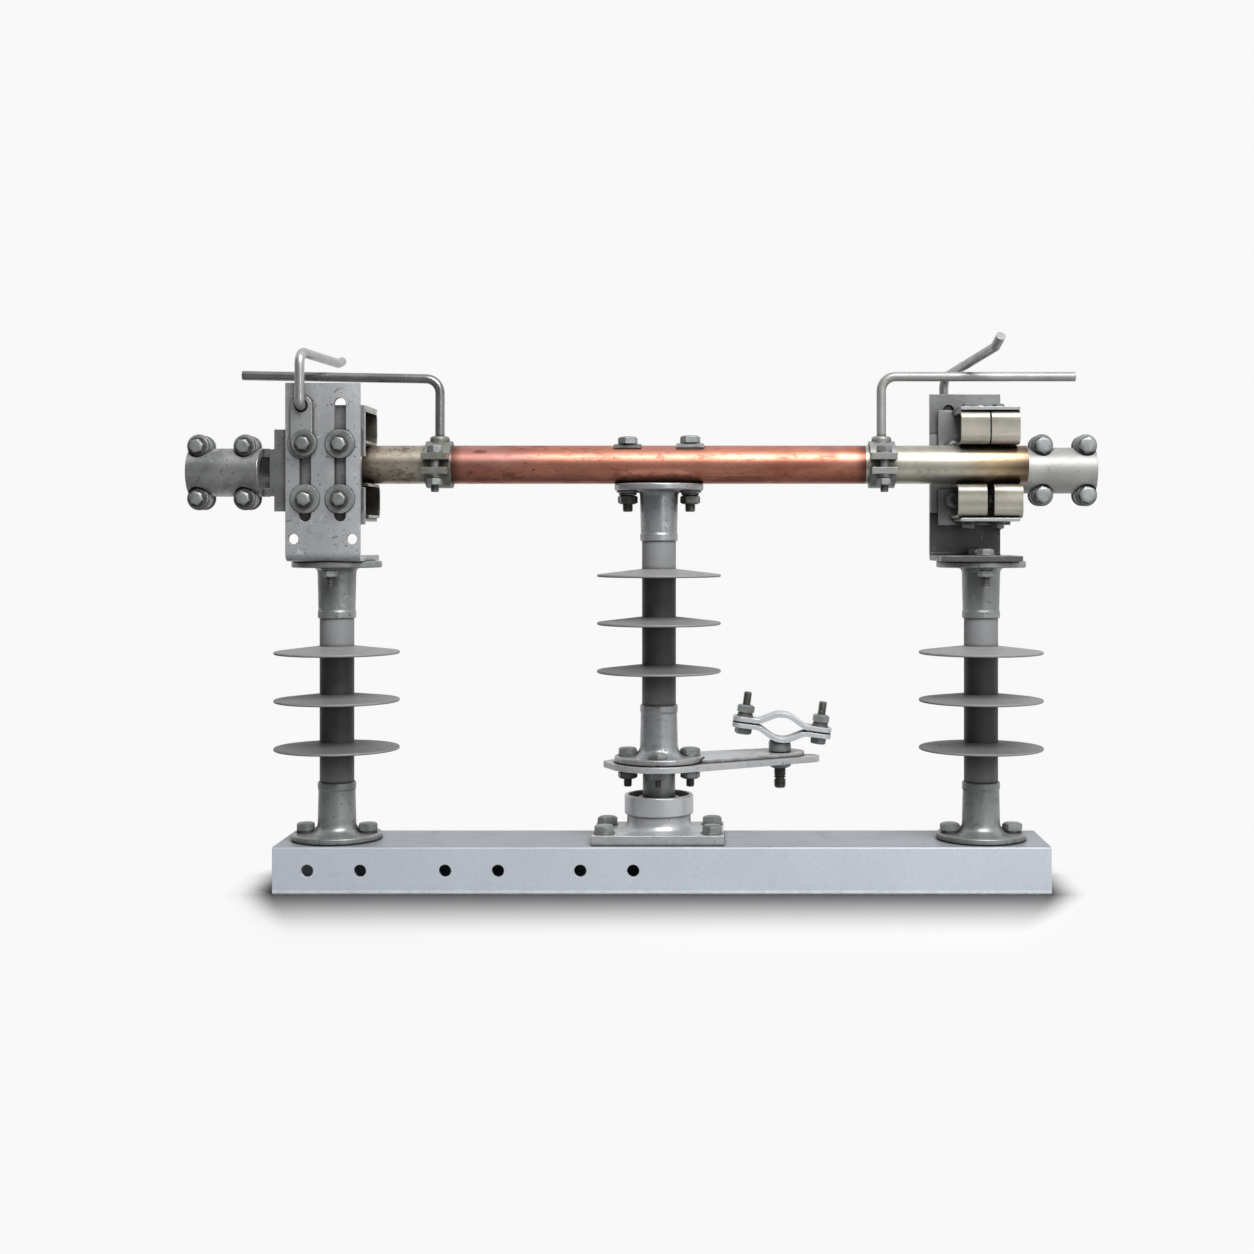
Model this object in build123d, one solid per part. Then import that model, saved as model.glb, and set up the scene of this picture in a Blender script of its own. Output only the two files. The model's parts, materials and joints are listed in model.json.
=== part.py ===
from build123d import *
import os

# One pole of a centre-rotating, double-break disconnect switch, in millimetres.
# X runs along the beam, -Y is the front and +Z is up. The origin is on the underside
# of the beam, below the centre column.

# Beam: a rolled channel, web up.
BEAM_LENGTH = 692
BEAM_MIDDLE_X = 4
BEAM_DEPTH = 90
BEAM_HEIGHT = 42
BEAM_WALL = 4
BEAM_CORNER = 1.5
BEAM_ROOT = 1
BEAM_HOLE_RADIUS = 5.5
BEAM_HOLE_SPACING = 47
BEAM_HOLE_PAIRS = (-287.5, -165, -45)
BEAM_HOLE_HEIGHT = 21

# Post insulators: three alike.
COLUMN_SPACING = 294
INSULATOR_HEIGHT = 253.5
FLANGE_RADIUS = 40.6
FLANGE_THICKNESS = 6
FLANGE_ROUND = 1.5
BARREL_ROOT_RADIUS = 17.5
BARREL_WAIST_RADIUS = 16.6
BARREL_LIP_RADIUS = 17.2
BARREL_LIP_LENGTH = 6
BARREL_LIP_SLOPE = 2
BASE_FLARE = 9
TOP_FLARE = 5
BASE_FITTING_HEIGHT = 52.5
TOP_FITTING_HEIGHT = 52.3
BARREL_CHAMFER = 1
BOLT_CIRCLE = 57
BOLT_HOLE_RADIUS = 5.5
BASE_BOLT_AXES = {"left": "X", "centre": "XY", "right": "X"}
TOP_BOLT_AXES = {"left": "Y", "centre": "X", "right": "Y"}
ROD_RADIUS = 15.5
SHED_RADIUS = 56.5
SHED_COUNT = 3
SHED_FIRST = 82.7
SHED_PITCH = 43.6
SHED_RIM = 2.4
SHED_RIM_ROUND = 1.1
SHED_TOP_RISE = 5
SHED_UNDER_RISE = 1.5

# Bearing under the centre column.
BEARING_PLATE_LENGTH = 118
BEARING_PLATE_DEPTH = 80
BEARING_PLATE_THICKNESS = 9
BEARING_BOLT_SPACING_X = 97
BEARING_BOLT_SPACING_Y = 50
BEARING_HOUSING_RADIUS = 29
BEARING_HOUSING_HEIGHT = 14.5
BEARING_HOUSING_FLARE = 9
RING_RADIUS = 31.4
RING_HEIGHT = 17.5
RING_RECESS_RADIUS = 28
RING_RECESS_DEPTH = 6
SHAFT_RADIUS = 14.8
SHAFT_EXPOSED = 23.9
SHAFT_COLLAR_RADIUS = 18.5
SHAFT_COLLAR_HEIGHT = 3
RUNNING_CLEARANCE = 0.05
MOVING_CLEARANCE = 0.3

# Operating lever, in two plates.
LEVER_THICKNESS = 5.3
LEVER_HUB_RADIUS = 45
LEVER_TAIL_RADIUS = 6
LEVER_TAIL_X = -45
LEVER_TAIL_Y = 5
LEVER_TIP_RADIUS = 12
LEVER_TIP_X = 137
LEVER_TIP_Y = 46
LEVER_BAR_THICKNESS = 3.5
LEVER_BAR_ROOT_RADIUS = 30
LEVER_BAR_ROOT_X = 36
LEVER_BAR_ROOT_Y = 16
LEVER_BAR_END_RADIUS = 24
LEVER_BAR_END_X = 111
LEVER_BAR_END_Y = 52
PIVOT_X = 112
PIVOT_Y = 45

# Pipe clamp that swivels on the lever.
PIVOT_STUD_RADIUS = 6
PIVOT_STUD_DROP = 24.5
PIVOT_BOSS_RADIUS = 10.4
PIVOT_BOSS_HEIGHT = 9.7
PIVOT_NUT_RADIUS = 9.3
PIVOT_NUT_HEIGHT = 5.4
CLAMP_TILT = 7.5
STRAP_THICKNESS = 4.2
STRAP_WIDTH = 26
STRAP_HALF_LENGTH = 46.3
STRAP_GAP = 1.6
EYE_HALF_HEIGHT = 9.6
EYE_CROWN_HALF_WIDTH = 5.5
EYE_FOOT_HALF_WIDTH = 21.5
STRAP_CROWN_BEND = 17
STRAP_FOOT_BEND = 12
STRAP_END_ROUND = 8
CLAMP_BOLT_SPACING = 71
CLAMP_BOLT_RADIUS = 4
CLAMP_HEAD_RADIUS = 8
CLAMP_HEAD_HEIGHT = 7
CLAMP_NUT_HEIGHT = 11
CLAMP_THREAD_ABOVE = 12.8

# Blade: a copper tube with plated ends.
TUBE_RADIUS = 17.5
TUBE_WALL = 3
TUBE_HALF_LENGTH = 335
COPPER_HALF_LENGTH = 188
BLADE_SEAT_GAP = 0.1
BLADE_BOLT_RADIUS = 5

# Collars that carry the moving horns.
COLLAR_X = {"left": 200, "right": 203}
COLLAR_WIDTH = 23
COLLAR_WALL = 4
COLLAR_LUG_REACH = 15
COLLAR_LUG_THICKNESS = 6
COLLAR_GAP = 7
COLLAR_BOLT_RADIUS = 4
COLLAR_BOSS_RADIUS = 9
COLLAR_BOSS_HEIGHT = 4.5
COLLAR_BOSS_ROUND = 3
COLLAR_FIT = 0.05
HORN_RADIUS = 4.3
MOVING_HORN_RISE = {"left": 78.2, "right": 80.4}
MOVING_HORN_LIFT = {"left": 3.2, "right": 0}
MOVING_HORN_REACH = 380
MOVING_HORN_BEND = 13

# Contact brackets: bent plates on the side columns.
BRACKET_X = {"left": -297, "right": 285.3}
BRACKET_WIDTH = 66
BRACKET_RISE = {"left": 70.8, "right": 67.7}
BRACKET_THICKNESS = 5
BRACKET_FACE = 46
BRACKET_BEND = 8
FOOT_EXTRA = {"left": 0, "right": 6.7}
FOOT_REACH = 43
UPPER_BOLT_RISE = 16.7
LOWER_BOLT_DROP = 32.3
SLOT_WIDTH = 10.5
SLOT_SPACING = 31
SLOT_ABOVE_BOLT = 41
SLOT_BELOW_BOLT = 20
LOW_HOLE_SIDES = ("left",)
LOW_HOLE_SPACING = 52
LOW_HOLE_RISE = 20
LOW_HOLE_RADIUS = 4.75

# Contact jaws: shoes between sprung arms, above and below the blade.
JAW_SHIFT = {"left": 9, "right": 14.5}
SHOE_LENGTH = 26
UPPER_SHOE_GAP = 1.4
LOWER_SHOE_GAP = 6.5
SHOE_HEIGHT = 31
SHOE_STRIP = 2.5
SHOE_BEND = 8
SHOE_WEB_REACH = 22
SHOE_TIP_REACH = 31
CONTACT_CLEARANCE = 0.3
ARM_THICKNESS = 3
ARM_LIP = 3
ARM_OVERHANG = 2
ARM_HOLE_RADIUS = 4
JAW_BOLT_RADIUS = 3
JAW_BOLT_REACH = 24
JAW_BOLT_HEAD_RADIUS = 6
JAW_BOLT_HEAD_HEIGHT = 4.5
JAW_BOLT_SPACING = 28
SPRING_RADIUS = 5.8
SPRING_WIRE = 1.4

# Terminals: a cast tongue and half clamp, with a saddle bolted to it.
CLAMP_DROP = {"left": 8.8, "right": 3.8}
TONGUE_THICKNESS = 5
TONGUE_ABOVE_BOLT = 13
TONGUE_BELOW_BOLT = 11
TONGUE_SHOULDER = 11
NECK_LENGTH = {"left": 4, "right": 7.2}
NECK_HEIGHT = 42
CONDUCTOR_RADIUS = 14
SHELL_WALL = 7.5
SADDLE_LENGTH = 63
TROUGH_EXTRA = 6
PARTING_GAP = 0.6
EAR_RADIUS = 9
EAR_THICKNESS = 6.5
EAR_SEAT_RADIUS = 10
EAR_SPACING_X = 41
EAR_SPACING_Z = 46
EAR_HOLE_RADIUS = 5.25

# Fixed arcing horns and the straps that hold them.
HORN_STRAP_SHIFT = -18
HORN_STRAP_WIDTH = 19
HORN_STRAP_THICKNESS = 4
HORN_HOLE_RISE = 33.5
HORN_HOLE_FIT = 0.1
HORN_HOLE_CHAMFER = 1.6
HORN_STANDOFF = 6
HORN_KNEE_BEND = 12
HORN_HOOK_BEND = 5
HORN_TIP_BEND = 6
HORN_TIP_LENGTH = 12
HORN_TIP_KICK = {"left": 3, "right": 6.5}
HORN_KNEE_RISE = {"left": 97.7, "right": 84.2}
HORN_TIP_RISE = {"left": 101, "right": 110}
HORN_TIP_SHIFT = {"left": -7, "right": 16}
HORN_TIP_REACH = 68

# The plate of the left bracket stands in front of the blade, the right one behind it.
PLATE_SIDE = {"left": -1, "right": 1}
OUTWARD = {"left": -1, "right": 1}
SIDES = ("left", "right")

# Heights that follow from the stack of pieces.
SIDE_BASE = BEAM_HEIGHT
SIDE_TOP = SIDE_BASE + INSULATOR_HEIGHT
HOUSING_TOP = BEAM_HEIGHT + BEARING_PLATE_THICKNESS + BEARING_HOUSING_HEIGHT
RING_TOP = HOUSING_TOP + RING_HEIGHT
LEVER_BOTTOM = RING_TOP + SHAFT_EXPOSED
LEVER_TOP = LEVER_BOTTOM + LEVER_THICKNESS
LEVER_BAR_TOP = LEVER_TOP + LEVER_BAR_THICKNESS
CENTRE_BASE = LEVER_TOP
CENTRE_TOP = CENTRE_BASE + INSULATOR_HEIGHT
BLADE_HEIGHT = CENTRE_TOP + TUBE_RADIUS + BLADE_SEAT_GAP
UPPER_BOLT_HEIGHT = BLADE_HEIGHT + UPPER_BOLT_RISE
LOWER_BOLT_HEIGHT = BLADE_HEIGHT - LOWER_BOLT_DROP
HORN_HOLE_HEIGHT = UPPER_BOLT_HEIGHT + HORN_HOLE_RISE
UPPER_SHOE_BOTTOM = BLADE_HEIGHT + TUBE_RADIUS + CONTACT_CLEARANCE
UPPER_SHOE_TOP = UPPER_SHOE_BOTTOM + SHOE_HEIGHT
LOWER_SHOE_TOP = BLADE_HEIGHT - TUBE_RADIUS - CONTACT_CLEARANCE
LOWER_SHOE_BOTTOM = LOWER_SHOE_TOP - SHOE_HEIGHT
PLATE_INNER = BRACKET_FACE - BRACKET_THICKNESS
TONGUE_INNER = PLATE_INNER - TONGUE_THICKNESS
ARM_INNER = TONGUE_INNER - ARM_THICKNESS
TERMINAL_AXIS = PLATE_INNER + PARTING_GAP / 2


def box_between(low, high):
    """Box with the given lowest and highest corners."""
    size = [b - a for a, b in zip(low, high)]
    middle = [(a + b) / 2 for a, b in zip(low, high)]
    return Pos(*middle) * Box(*size)


def side_box(side, x_range, reach_range, z_range):
    """Box whose Y extent is given as a distance towards the side's bracket plate."""
    y = sorted(PLATE_SIDE[side] * reach for reach in reach_range)
    x = sorted(x_range)
    return box_between((x[0], y[0], z_range[0]), (x[1], y[1], z_range[1]))


def rod_z(x, y, bottom, top, radius):
    """Upright cylinder."""
    return Pos(x, y, (bottom + top) / 2) * Cylinder(radius, top - bottom)


def rod_y(x, y_range, z, radius):
    """Cylinder along Y."""
    low, high = sorted(y_range)
    return Pos(x, (low + high) / 2, z) * Rot(90, 0, 0) * Cylinder(radius, high - low)


def rod_x(x_range, y, z, radius):
    """Cylinder along X."""
    low, high = sorted(x_range)
    return Pos((low + high) / 2, y, z) * Rot(0, 90, 0) * Cylinder(radius, high - low)


def tapered_plate(ends, thickness, bottom):
    """Flat plate whose outline wraps two circles, given as (x, y, radius)."""
    outline = make_hull([Pos(x, y) * Edge.make_circle(radius) for x, y, radius in ends])
    return Pos(0, 0, bottom) * extrude(outline, thickness)


def bent_rod(points, radius, bends):
    """Round rod along straight runs joined by arcs."""
    path = FilletPolyline(*points, radius=bends)
    return sweep(Plane(origin=path @ 0, z_dir=path % 0) * Circle(radius), path=path)


def base_beam():
    """Rolled channel with its web up, holes for the columns, the bearing and fixings."""
    half = BEAM_DEPTH / 2
    outside = Pos(0, BEAM_HEIGHT / 2) * Rectangle(BEAM_DEPTH, BEAM_HEIGHT)
    outside = fillet(outside.vertices().group_by(Axis.Y)[-1], BEAM_CORNER)
    inside_height = BEAM_HEIGHT - BEAM_WALL
    inside = Pos(0, inside_height / 2) * Rectangle(BEAM_DEPTH - 2 * BEAM_WALL, inside_height)
    inside = fillet(inside.vertices().group_by(Axis.Y)[-1], BEAM_ROOT)
    section = Plane.YZ * (outside - inside)
    start = BEAM_MIDDLE_X - BEAM_LENGTH / 2
    beam = Pos(start, 0, 0) * extrude(section, BEAM_LENGTH, dir=(1, 0, 0))
    for side in SIDES:
        column_x = OUTWARD[side] * COLUMN_SPACING
        for x, y in bolt_circle_points(BASE_BOLT_AXES[side]):
            beam -= rod_z(column_x + x, y, 0, BEAM_HEIGHT, BOLT_HOLE_RADIUS)
    for x, y in bearing_bolt_points():
        beam -= rod_z(x, y, 0, BEAM_HEIGHT, BOLT_HOLE_RADIUS)
    for pair in BEAM_HOLE_PAIRS:
        for x in (pair - BEAM_HOLE_SPACING / 2, pair + BEAM_HOLE_SPACING / 2):
            beam -= rod_y(x, (-half - 1, -half + BEAM_WALL + 1), BEAM_HOLE_HEIGHT, BEAM_HOLE_RADIUS)
    return beam


def bolt_circle_points(axes):
    """Bolt positions of an insulator flange about its centre, two along each of the named axes."""
    reach = BOLT_CIRCLE / 2
    points = {"X": ((reach, 0), (-reach, 0)), "Y": ((0, reach), (0, -reach))}
    return [point for axis in axes for point in points[axis]]


def bearing_bolt_points():
    """The four bolt positions of the bearing's base plate."""
    return [
        (x * BEARING_BOLT_SPACING_X / 2, y * BEARING_BOLT_SPACING_Y / 2)
        for x in (-1, 1)
        for y in (-1, 1)
    ]


def circles_at(piece, radius, height):
    """The piece's round edges about the Z axis with that radius, at that height."""
    return [
        edge
        for edge in piece.edges().filter_by(GeomType.CIRCLE)
        if abs(edge.radius - radius) < 0.01 and abs(edge.center().Z - height) < 0.01
    ]


def end_fitting(x, face, up, height, flare, bolt_axes):
    """Cast flange and waisted barrel; face is the flange's outer face, up is +1 or -1."""
    lip = height - BARREL_LIP_LENGTH
    outline = [
        (0, 0),
        (FLANGE_RADIUS, 0),
        (FLANGE_RADIUS, FLANGE_THICKNESS),
        (BARREL_ROOT_RADIUS, FLANGE_THICKNESS),
        (BARREL_WAIST_RADIUS, lip - BARREL_LIP_SLOPE),
        (BARREL_LIP_RADIUS, lip),
        (BARREL_LIP_RADIUS, height),
        (0, height),
    ]
    section = make_face(Polyline(*[(radius, 0, z) for radius, z in outline], close=True))
    fitting = revolve(section, Axis.Z)
    fitting = fillet(circles_at(fitting, BARREL_ROOT_RADIUS, FLANGE_THICKNESS), flare)
    for rim in (0, FLANGE_THICKNESS):
        fitting = fillet(circles_at(fitting, FLANGE_RADIUS, rim), FLANGE_ROUND)
    fitting = chamfer(circles_at(fitting, BARREL_LIP_RADIUS, height), BARREL_CHAMFER)
    for hole_x, hole_y in bolt_circle_points(bolt_axes):
        fitting -= rod_z(hole_x, hole_y, -1, FLANGE_THICKNESS + 1, BOLT_HOLE_RADIUS)
    turn = Rot(0, 0, 0) if up > 0 else Rot(180, 0, 0)
    return Pos(x, 0, face) * turn * fitting


def insulator_housing(x, base):
    """Polymer rod with its sheds, between the two fittings."""
    low = BASE_FITTING_HEIGHT
    high = INSULATOR_HEIGHT - TOP_FITTING_HEIGHT
    outline = [(0, low), (ROD_RADIUS, low)]
    for shed in range(SHED_COUNT):
        rim = SHED_FIRST + shed * SHED_PITCH
        outline += [
            (ROD_RADIUS, rim - SHED_RIM / 2 + SHED_UNDER_RISE),
            (SHED_RADIUS, rim - SHED_RIM / 2),
            (SHED_RADIUS, rim + SHED_RIM / 2),
            (ROD_RADIUS, rim + SHED_RIM / 2 + SHED_TOP_RISE),
        ]
    outline += [(ROD_RADIUS, high), (0, high)]
    face = make_face(Polyline(*[(radius, 0, z) for radius, z in outline], close=True))
    housing = revolve(face, Axis.Z)
    rims = [
        edge
        for edge in housing.edges().filter_by(GeomType.CIRCLE)
        if abs(edge.radius - SHED_RADIUS) < 0.01
    ]
    housing = fillet(rims, SHED_RIM_ROUND)
    return Pos(x, 0, base) * housing


def bearing_base():
    """Bolted base plate with a flared round housing, bored for the shaft."""
    bottom = BEAM_HEIGHT
    plate_top = bottom + BEARING_PLATE_THICKNESS
    plate = box_between(
        (-BEARING_PLATE_LENGTH / 2, -BEARING_PLATE_DEPTH / 2, bottom),
        (BEARING_PLATE_LENGTH / 2, BEARING_PLATE_DEPTH / 2, plate_top),
    )
    plate += rod_z(0, 0, plate_top, HOUSING_TOP, BEARING_HOUSING_RADIUS)
    foot = [
        edge
        for edge in plate.edges().filter_by(GeomType.CIRCLE)
        if abs(edge.center().Z - plate_top) < 0.01
    ]
    plate = fillet(foot, BEARING_HOUSING_FLARE)
    plate -= rod_z(0, 0, bottom - 1, HOUSING_TOP + 1, SHAFT_RADIUS + RUNNING_CLEARANCE)
    for x, y in bearing_bolt_points():
        plate -= rod_z(x, y, bottom - 1, plate_top + 1, BOLT_HOLE_RADIUS)
    return plate


def bearing_ring():
    """Ring on the housing, dished on top around the shaft."""
    ring = chamfer(rod_z(0, 0, HOUSING_TOP, RING_TOP, RING_RADIUS).edges().filter_by(GeomType.CIRCLE), 1)
    recess_bottom = RING_TOP - RING_RECESS_DEPTH
    ring -= rod_z(0, 0, recess_bottom, RING_TOP + 1, RING_RECESS_RADIUS)
    return ring - rod_z(0, 0, HOUSING_TOP - 1, RING_TOP + 1, SHAFT_RADIUS + RUNNING_CLEARANCE)


def rotor_shaft():
    """Shaft from the bearing to the lever, with a collar that runs in the ring's recess."""
    collar_bottom = RING_TOP - RING_RECESS_DEPTH + MOVING_CLEARANCE
    shaft = rod_z(0, 0, BEAM_HEIGHT + 1, LEVER_BOTTOM, SHAFT_RADIUS)
    return shaft + rod_z(0, 0, collar_bottom, collar_bottom + SHAFT_COLLAR_HEIGHT, SHAFT_COLLAR_RADIUS)


def pivot_hole():
    """The hole that the pipe clamp's stud turns in."""
    radius = PIVOT_STUD_RADIUS + RUNNING_CLEARANCE
    return rod_z(PIVOT_X, PIVOT_Y, LEVER_BOTTOM - 1, LEVER_BAR_TOP + 1, radius)


def lever_plate():
    """Round hub with a blunt tail under the centre column, drawn out to a tapered arm."""
    plate = tapered_plate(
        [
            (0, 0, LEVER_HUB_RADIUS),
            (LEVER_TAIL_X, LEVER_TAIL_Y, LEVER_TAIL_RADIUS),
            (LEVER_TIP_X, LEVER_TIP_Y, LEVER_TIP_RADIUS),
        ],
        LEVER_THICKNESS,
        LEVER_BOTTOM,
    )
    for x, y in bolt_circle_points(BASE_BOLT_AXES["centre"]):
        plate -= rod_z(x, y, LEVER_BOTTOM - 1, LEVER_TOP + 1, BOLT_HOLE_RADIUS)
    return plate - pivot_hole()


def lever_bar():
    """Stiffening bar on the arm, cut round the flange of the centre column."""
    bar = tapered_plate(
        [
            (LEVER_BAR_ROOT_X, LEVER_BAR_ROOT_Y, LEVER_BAR_ROOT_RADIUS),
            (LEVER_BAR_END_X, LEVER_BAR_END_Y, LEVER_BAR_END_RADIUS),
        ],
        LEVER_BAR_THICKNESS,
        LEVER_TOP,
    )
    bar -= rod_z(0, 0, LEVER_TOP - 1, LEVER_BAR_TOP + 1, FLANGE_RADIUS + 1)
    return bar - pivot_hole()


def clamp_place():
    """Place of the pipe clamp: tilted about its seat on the pivot boss."""
    seat = LEVER_BAR_TOP + MOVING_CLEARANCE + PIVOT_BOSS_HEIGHT
    rise = EYE_HALF_HEIGHT + STRAP_THICKNESS
    return Pos(PIVOT_X, PIVOT_Y, seat) * Rot(0, CLAMP_TILT, 0) * Pos(0, 0, rise)


def pivot_stud():
    """Stud through the lever, with a boss that carries the clamp and a nut below."""
    boss_bottom = LEVER_BAR_TOP + MOVING_CLEARANCE
    rise = EYE_HALF_HEIGHT + STRAP_THICKNESS
    nut_top = LEVER_BOTTOM - MOVING_CLEARANCE
    stud = rod_z(PIVOT_X, PIVOT_Y, LEVER_BOTTOM - PIVOT_STUD_DROP, boss_bottom, PIVOT_STUD_RADIUS)
    stud += rod_z(PIVOT_X, PIVOT_Y, boss_bottom, boss_bottom + 2 * PIVOT_BOSS_HEIGHT, PIVOT_BOSS_RADIUS)
    stud += rod_z(PIVOT_X, PIVOT_Y, nut_top - PIVOT_NUT_HEIGHT, nut_top, PIVOT_NUT_RADIUS)
    above = box_between(
        (-2 * PIVOT_BOSS_RADIUS, -2 * PIVOT_BOSS_RADIUS, -rise),
        (2 * PIVOT_BOSS_RADIUS, 2 * PIVOT_BOSS_RADIUS, 3 * PIVOT_BOSS_HEIGHT),
    )
    return stud - clamp_place() * above


def clamp_strap(up):
    """Bent strap: flat, rounded ends, and an arch over the pipe; up is +1 or -1."""
    flat = up * (STRAP_GAP + STRAP_THICKNESS) / 2
    crown = up * (EYE_HALF_HEIGHT + STRAP_THICKNESS / 2)
    middle = FilletPolyline(
        (-STRAP_HALF_LENGTH, 0, flat),
        (-EYE_FOOT_HALF_WIDTH, 0, flat),
        (-EYE_CROWN_HALF_WIDTH, 0, crown),
        (EYE_CROWN_HALF_WIDTH, 0, crown),
        (EYE_FOOT_HALF_WIDTH, 0, flat),
        (STRAP_HALF_LENGTH, 0, flat),
        radius=[STRAP_FOOT_BEND, STRAP_CROWN_BEND, STRAP_CROWN_BEND, STRAP_FOOT_BEND],
    )
    section = Plane(origin=middle @ 0, x_dir=(0, 1, 0), z_dir=middle % 0)
    strap = sweep(section * Rectangle(STRAP_WIDTH, STRAP_THICKNESS), path=middle)
    corners = [
        edge
        for edge in strap.edges().filter_by(Axis.Z)
        if abs(abs(edge.center().X) - STRAP_HALF_LENGTH) < 0.01
    ]
    strap = fillet(corners, STRAP_END_ROUND)
    for x in (-CLAMP_BOLT_SPACING / 2, CLAMP_BOLT_SPACING / 2):
        strap -= Pos(x, 0, flat) * Cylinder(CLAMP_BOLT_RADIUS, 3 * STRAP_THICKNESS)
    return clamp_place() * strap


def clamp_bolts():
    """The two bolts that draw the straps together."""
    face = STRAP_GAP / 2 + STRAP_THICKNESS
    bolts = []
    nut_top = face + CLAMP_NUT_HEIGHT
    head_bottom = -face - CLAMP_HEAD_HEIGHT
    for x in (-CLAMP_BOLT_SPACING / 2, CLAMP_BOLT_SPACING / 2):
        bolt = rod_z(x, 0, head_bottom, nut_top + CLAMP_THREAD_ABOVE, CLAMP_BOLT_RADIUS)
        bolt += rod_z(x, 0, head_bottom, -face, CLAMP_HEAD_RADIUS)
        bolt += rod_z(x, 0, face, nut_top, CLAMP_HEAD_RADIUS)
        bolts.append(clamp_place() * bolt)
    return bolts


def tube(x_range):
    """Length of the blade's tube."""
    low, high = sorted(x_range)
    outside = rod_x((low, high), 0, BLADE_HEIGHT, TUBE_RADIUS)
    return outside - rod_x((low - 1, high + 1), 0, BLADE_HEIGHT, TUBE_RADIUS - TUBE_WALL)


def blade_tube():
    """Bare copper middle of the blade, drilled for the two bolts to the column."""
    copper = tube((-COPPER_HALF_LENGTH, COPPER_HALF_LENGTH))
    for x in (-BOLT_CIRCLE / 2, BOLT_CIRCLE / 2):
        copper -= rod_z(x, 0, CENTRE_TOP, BLADE_HEIGHT + 2 * TUBE_RADIUS, BLADE_BOLT_RADIUS)
    return copper


def blade_end(side):
    """Plated end of the blade, which the jaws grip."""
    return tube((OUTWARD[side] * COPPER_HALF_LENGTH, OUTWARD[side] * TUBE_HALF_LENGTH))


def horn_collar(side):
    """Split collar with two lugs in front and a boss on top for the moving horn."""
    x = OUTWARD[side] * COLLAR_X[side]
    ends = (x - COLLAR_WIDTH / 2, x + COLLAR_WIDTH / 2)
    outer = TUBE_RADIUS + COLLAR_WALL
    lug_half = COLLAR_GAP / 2 + COLLAR_LUG_THICKNESS
    lug_front = -outer - COLLAR_LUG_REACH
    bolt_y = -outer - COLLAR_LUG_REACH / 2
    bolt_z = (BLADE_HEIGHT - 2 * lug_half, BLADE_HEIGHT + 2 * lug_half)
    collar = rod_x(ends, 0, BLADE_HEIGHT, outer)
    collar += box_between(
        (ends[0], lug_front, BLADE_HEIGHT - lug_half), (ends[1], -TUBE_RADIUS, BLADE_HEIGHT + lug_half)
    )
    boss_top = BLADE_HEIGHT + outer + COLLAR_BOSS_HEIGHT
    boss = rod_z(x, 0, BLADE_HEIGHT, boss_top, COLLAR_BOSS_RADIUS)
    collar += fillet(circles_at(boss, COLLAR_BOSS_RADIUS, boss_top), COLLAR_BOSS_ROUND)
    collar -= rod_x((ends[0] - 1, ends[1] + 1), 0, BLADE_HEIGHT, TUBE_RADIUS + COLLAR_FIT)
    collar -= box_between(
        (ends[0] - 1, lug_front - 1, BLADE_HEIGHT - COLLAR_GAP / 2),
        (ends[1] + 1, 0, BLADE_HEIGHT + COLLAR_GAP / 2),
    )
    return collar - rod_z(x, bolt_y, *bolt_z, COLLAR_BOLT_RADIUS)


def moving_horn(side):
    """Rod that rises from the collar and runs out over the jaw."""
    x = OUTWARD[side] * COLLAR_X[side]
    bottom = BLADE_HEIGHT + TUBE_RADIUS + COLLAR_WALL + COLLAR_BOSS_HEIGHT
    height = BLADE_HEIGHT + MOVING_HORN_RISE[side]
    points = [
        (x, 0, bottom),
        (x, 0, height),
        (OUTWARD[side] * MOVING_HORN_REACH, 0, height + MOVING_HORN_LIFT[side]),
    ]
    return bent_rod(points, HORN_RADIUS, MOVING_HORN_BEND)


def round_edges(piece, y, z, radius):
    """Round the edges that run along X at the given Y and Z."""
    edges = [
        edge
        for edge in piece.edges().filter_by(Axis.X)
        if abs(edge.center().Y - y) < 0.01 and abs(edge.center().Z - z) < 0.01
    ]
    return fillet(edges, radius)


def slot_cut(side, x, low, high, width):
    """Upright slot through the bracket plate."""
    reach = (PLATE_INNER - 1, BRACKET_FACE + 1)
    y = [PLATE_SIDE[side] * r for r in reach]
    radius = width / 2
    cut = side_box(side, (x - radius, x + radius), reach, (low + radius, high - radius))
    return cut + rod_y(x, y, low + radius, radius) + rod_y(x, y, high - radius, radius)


def bracket_edge(side, out):
    """X of the plate's edge; out is +1 for the one turned from the centre column."""
    return BRACKET_X[side] + out * OUTWARD[side] * BRACKET_WIDTH / 2


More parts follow.
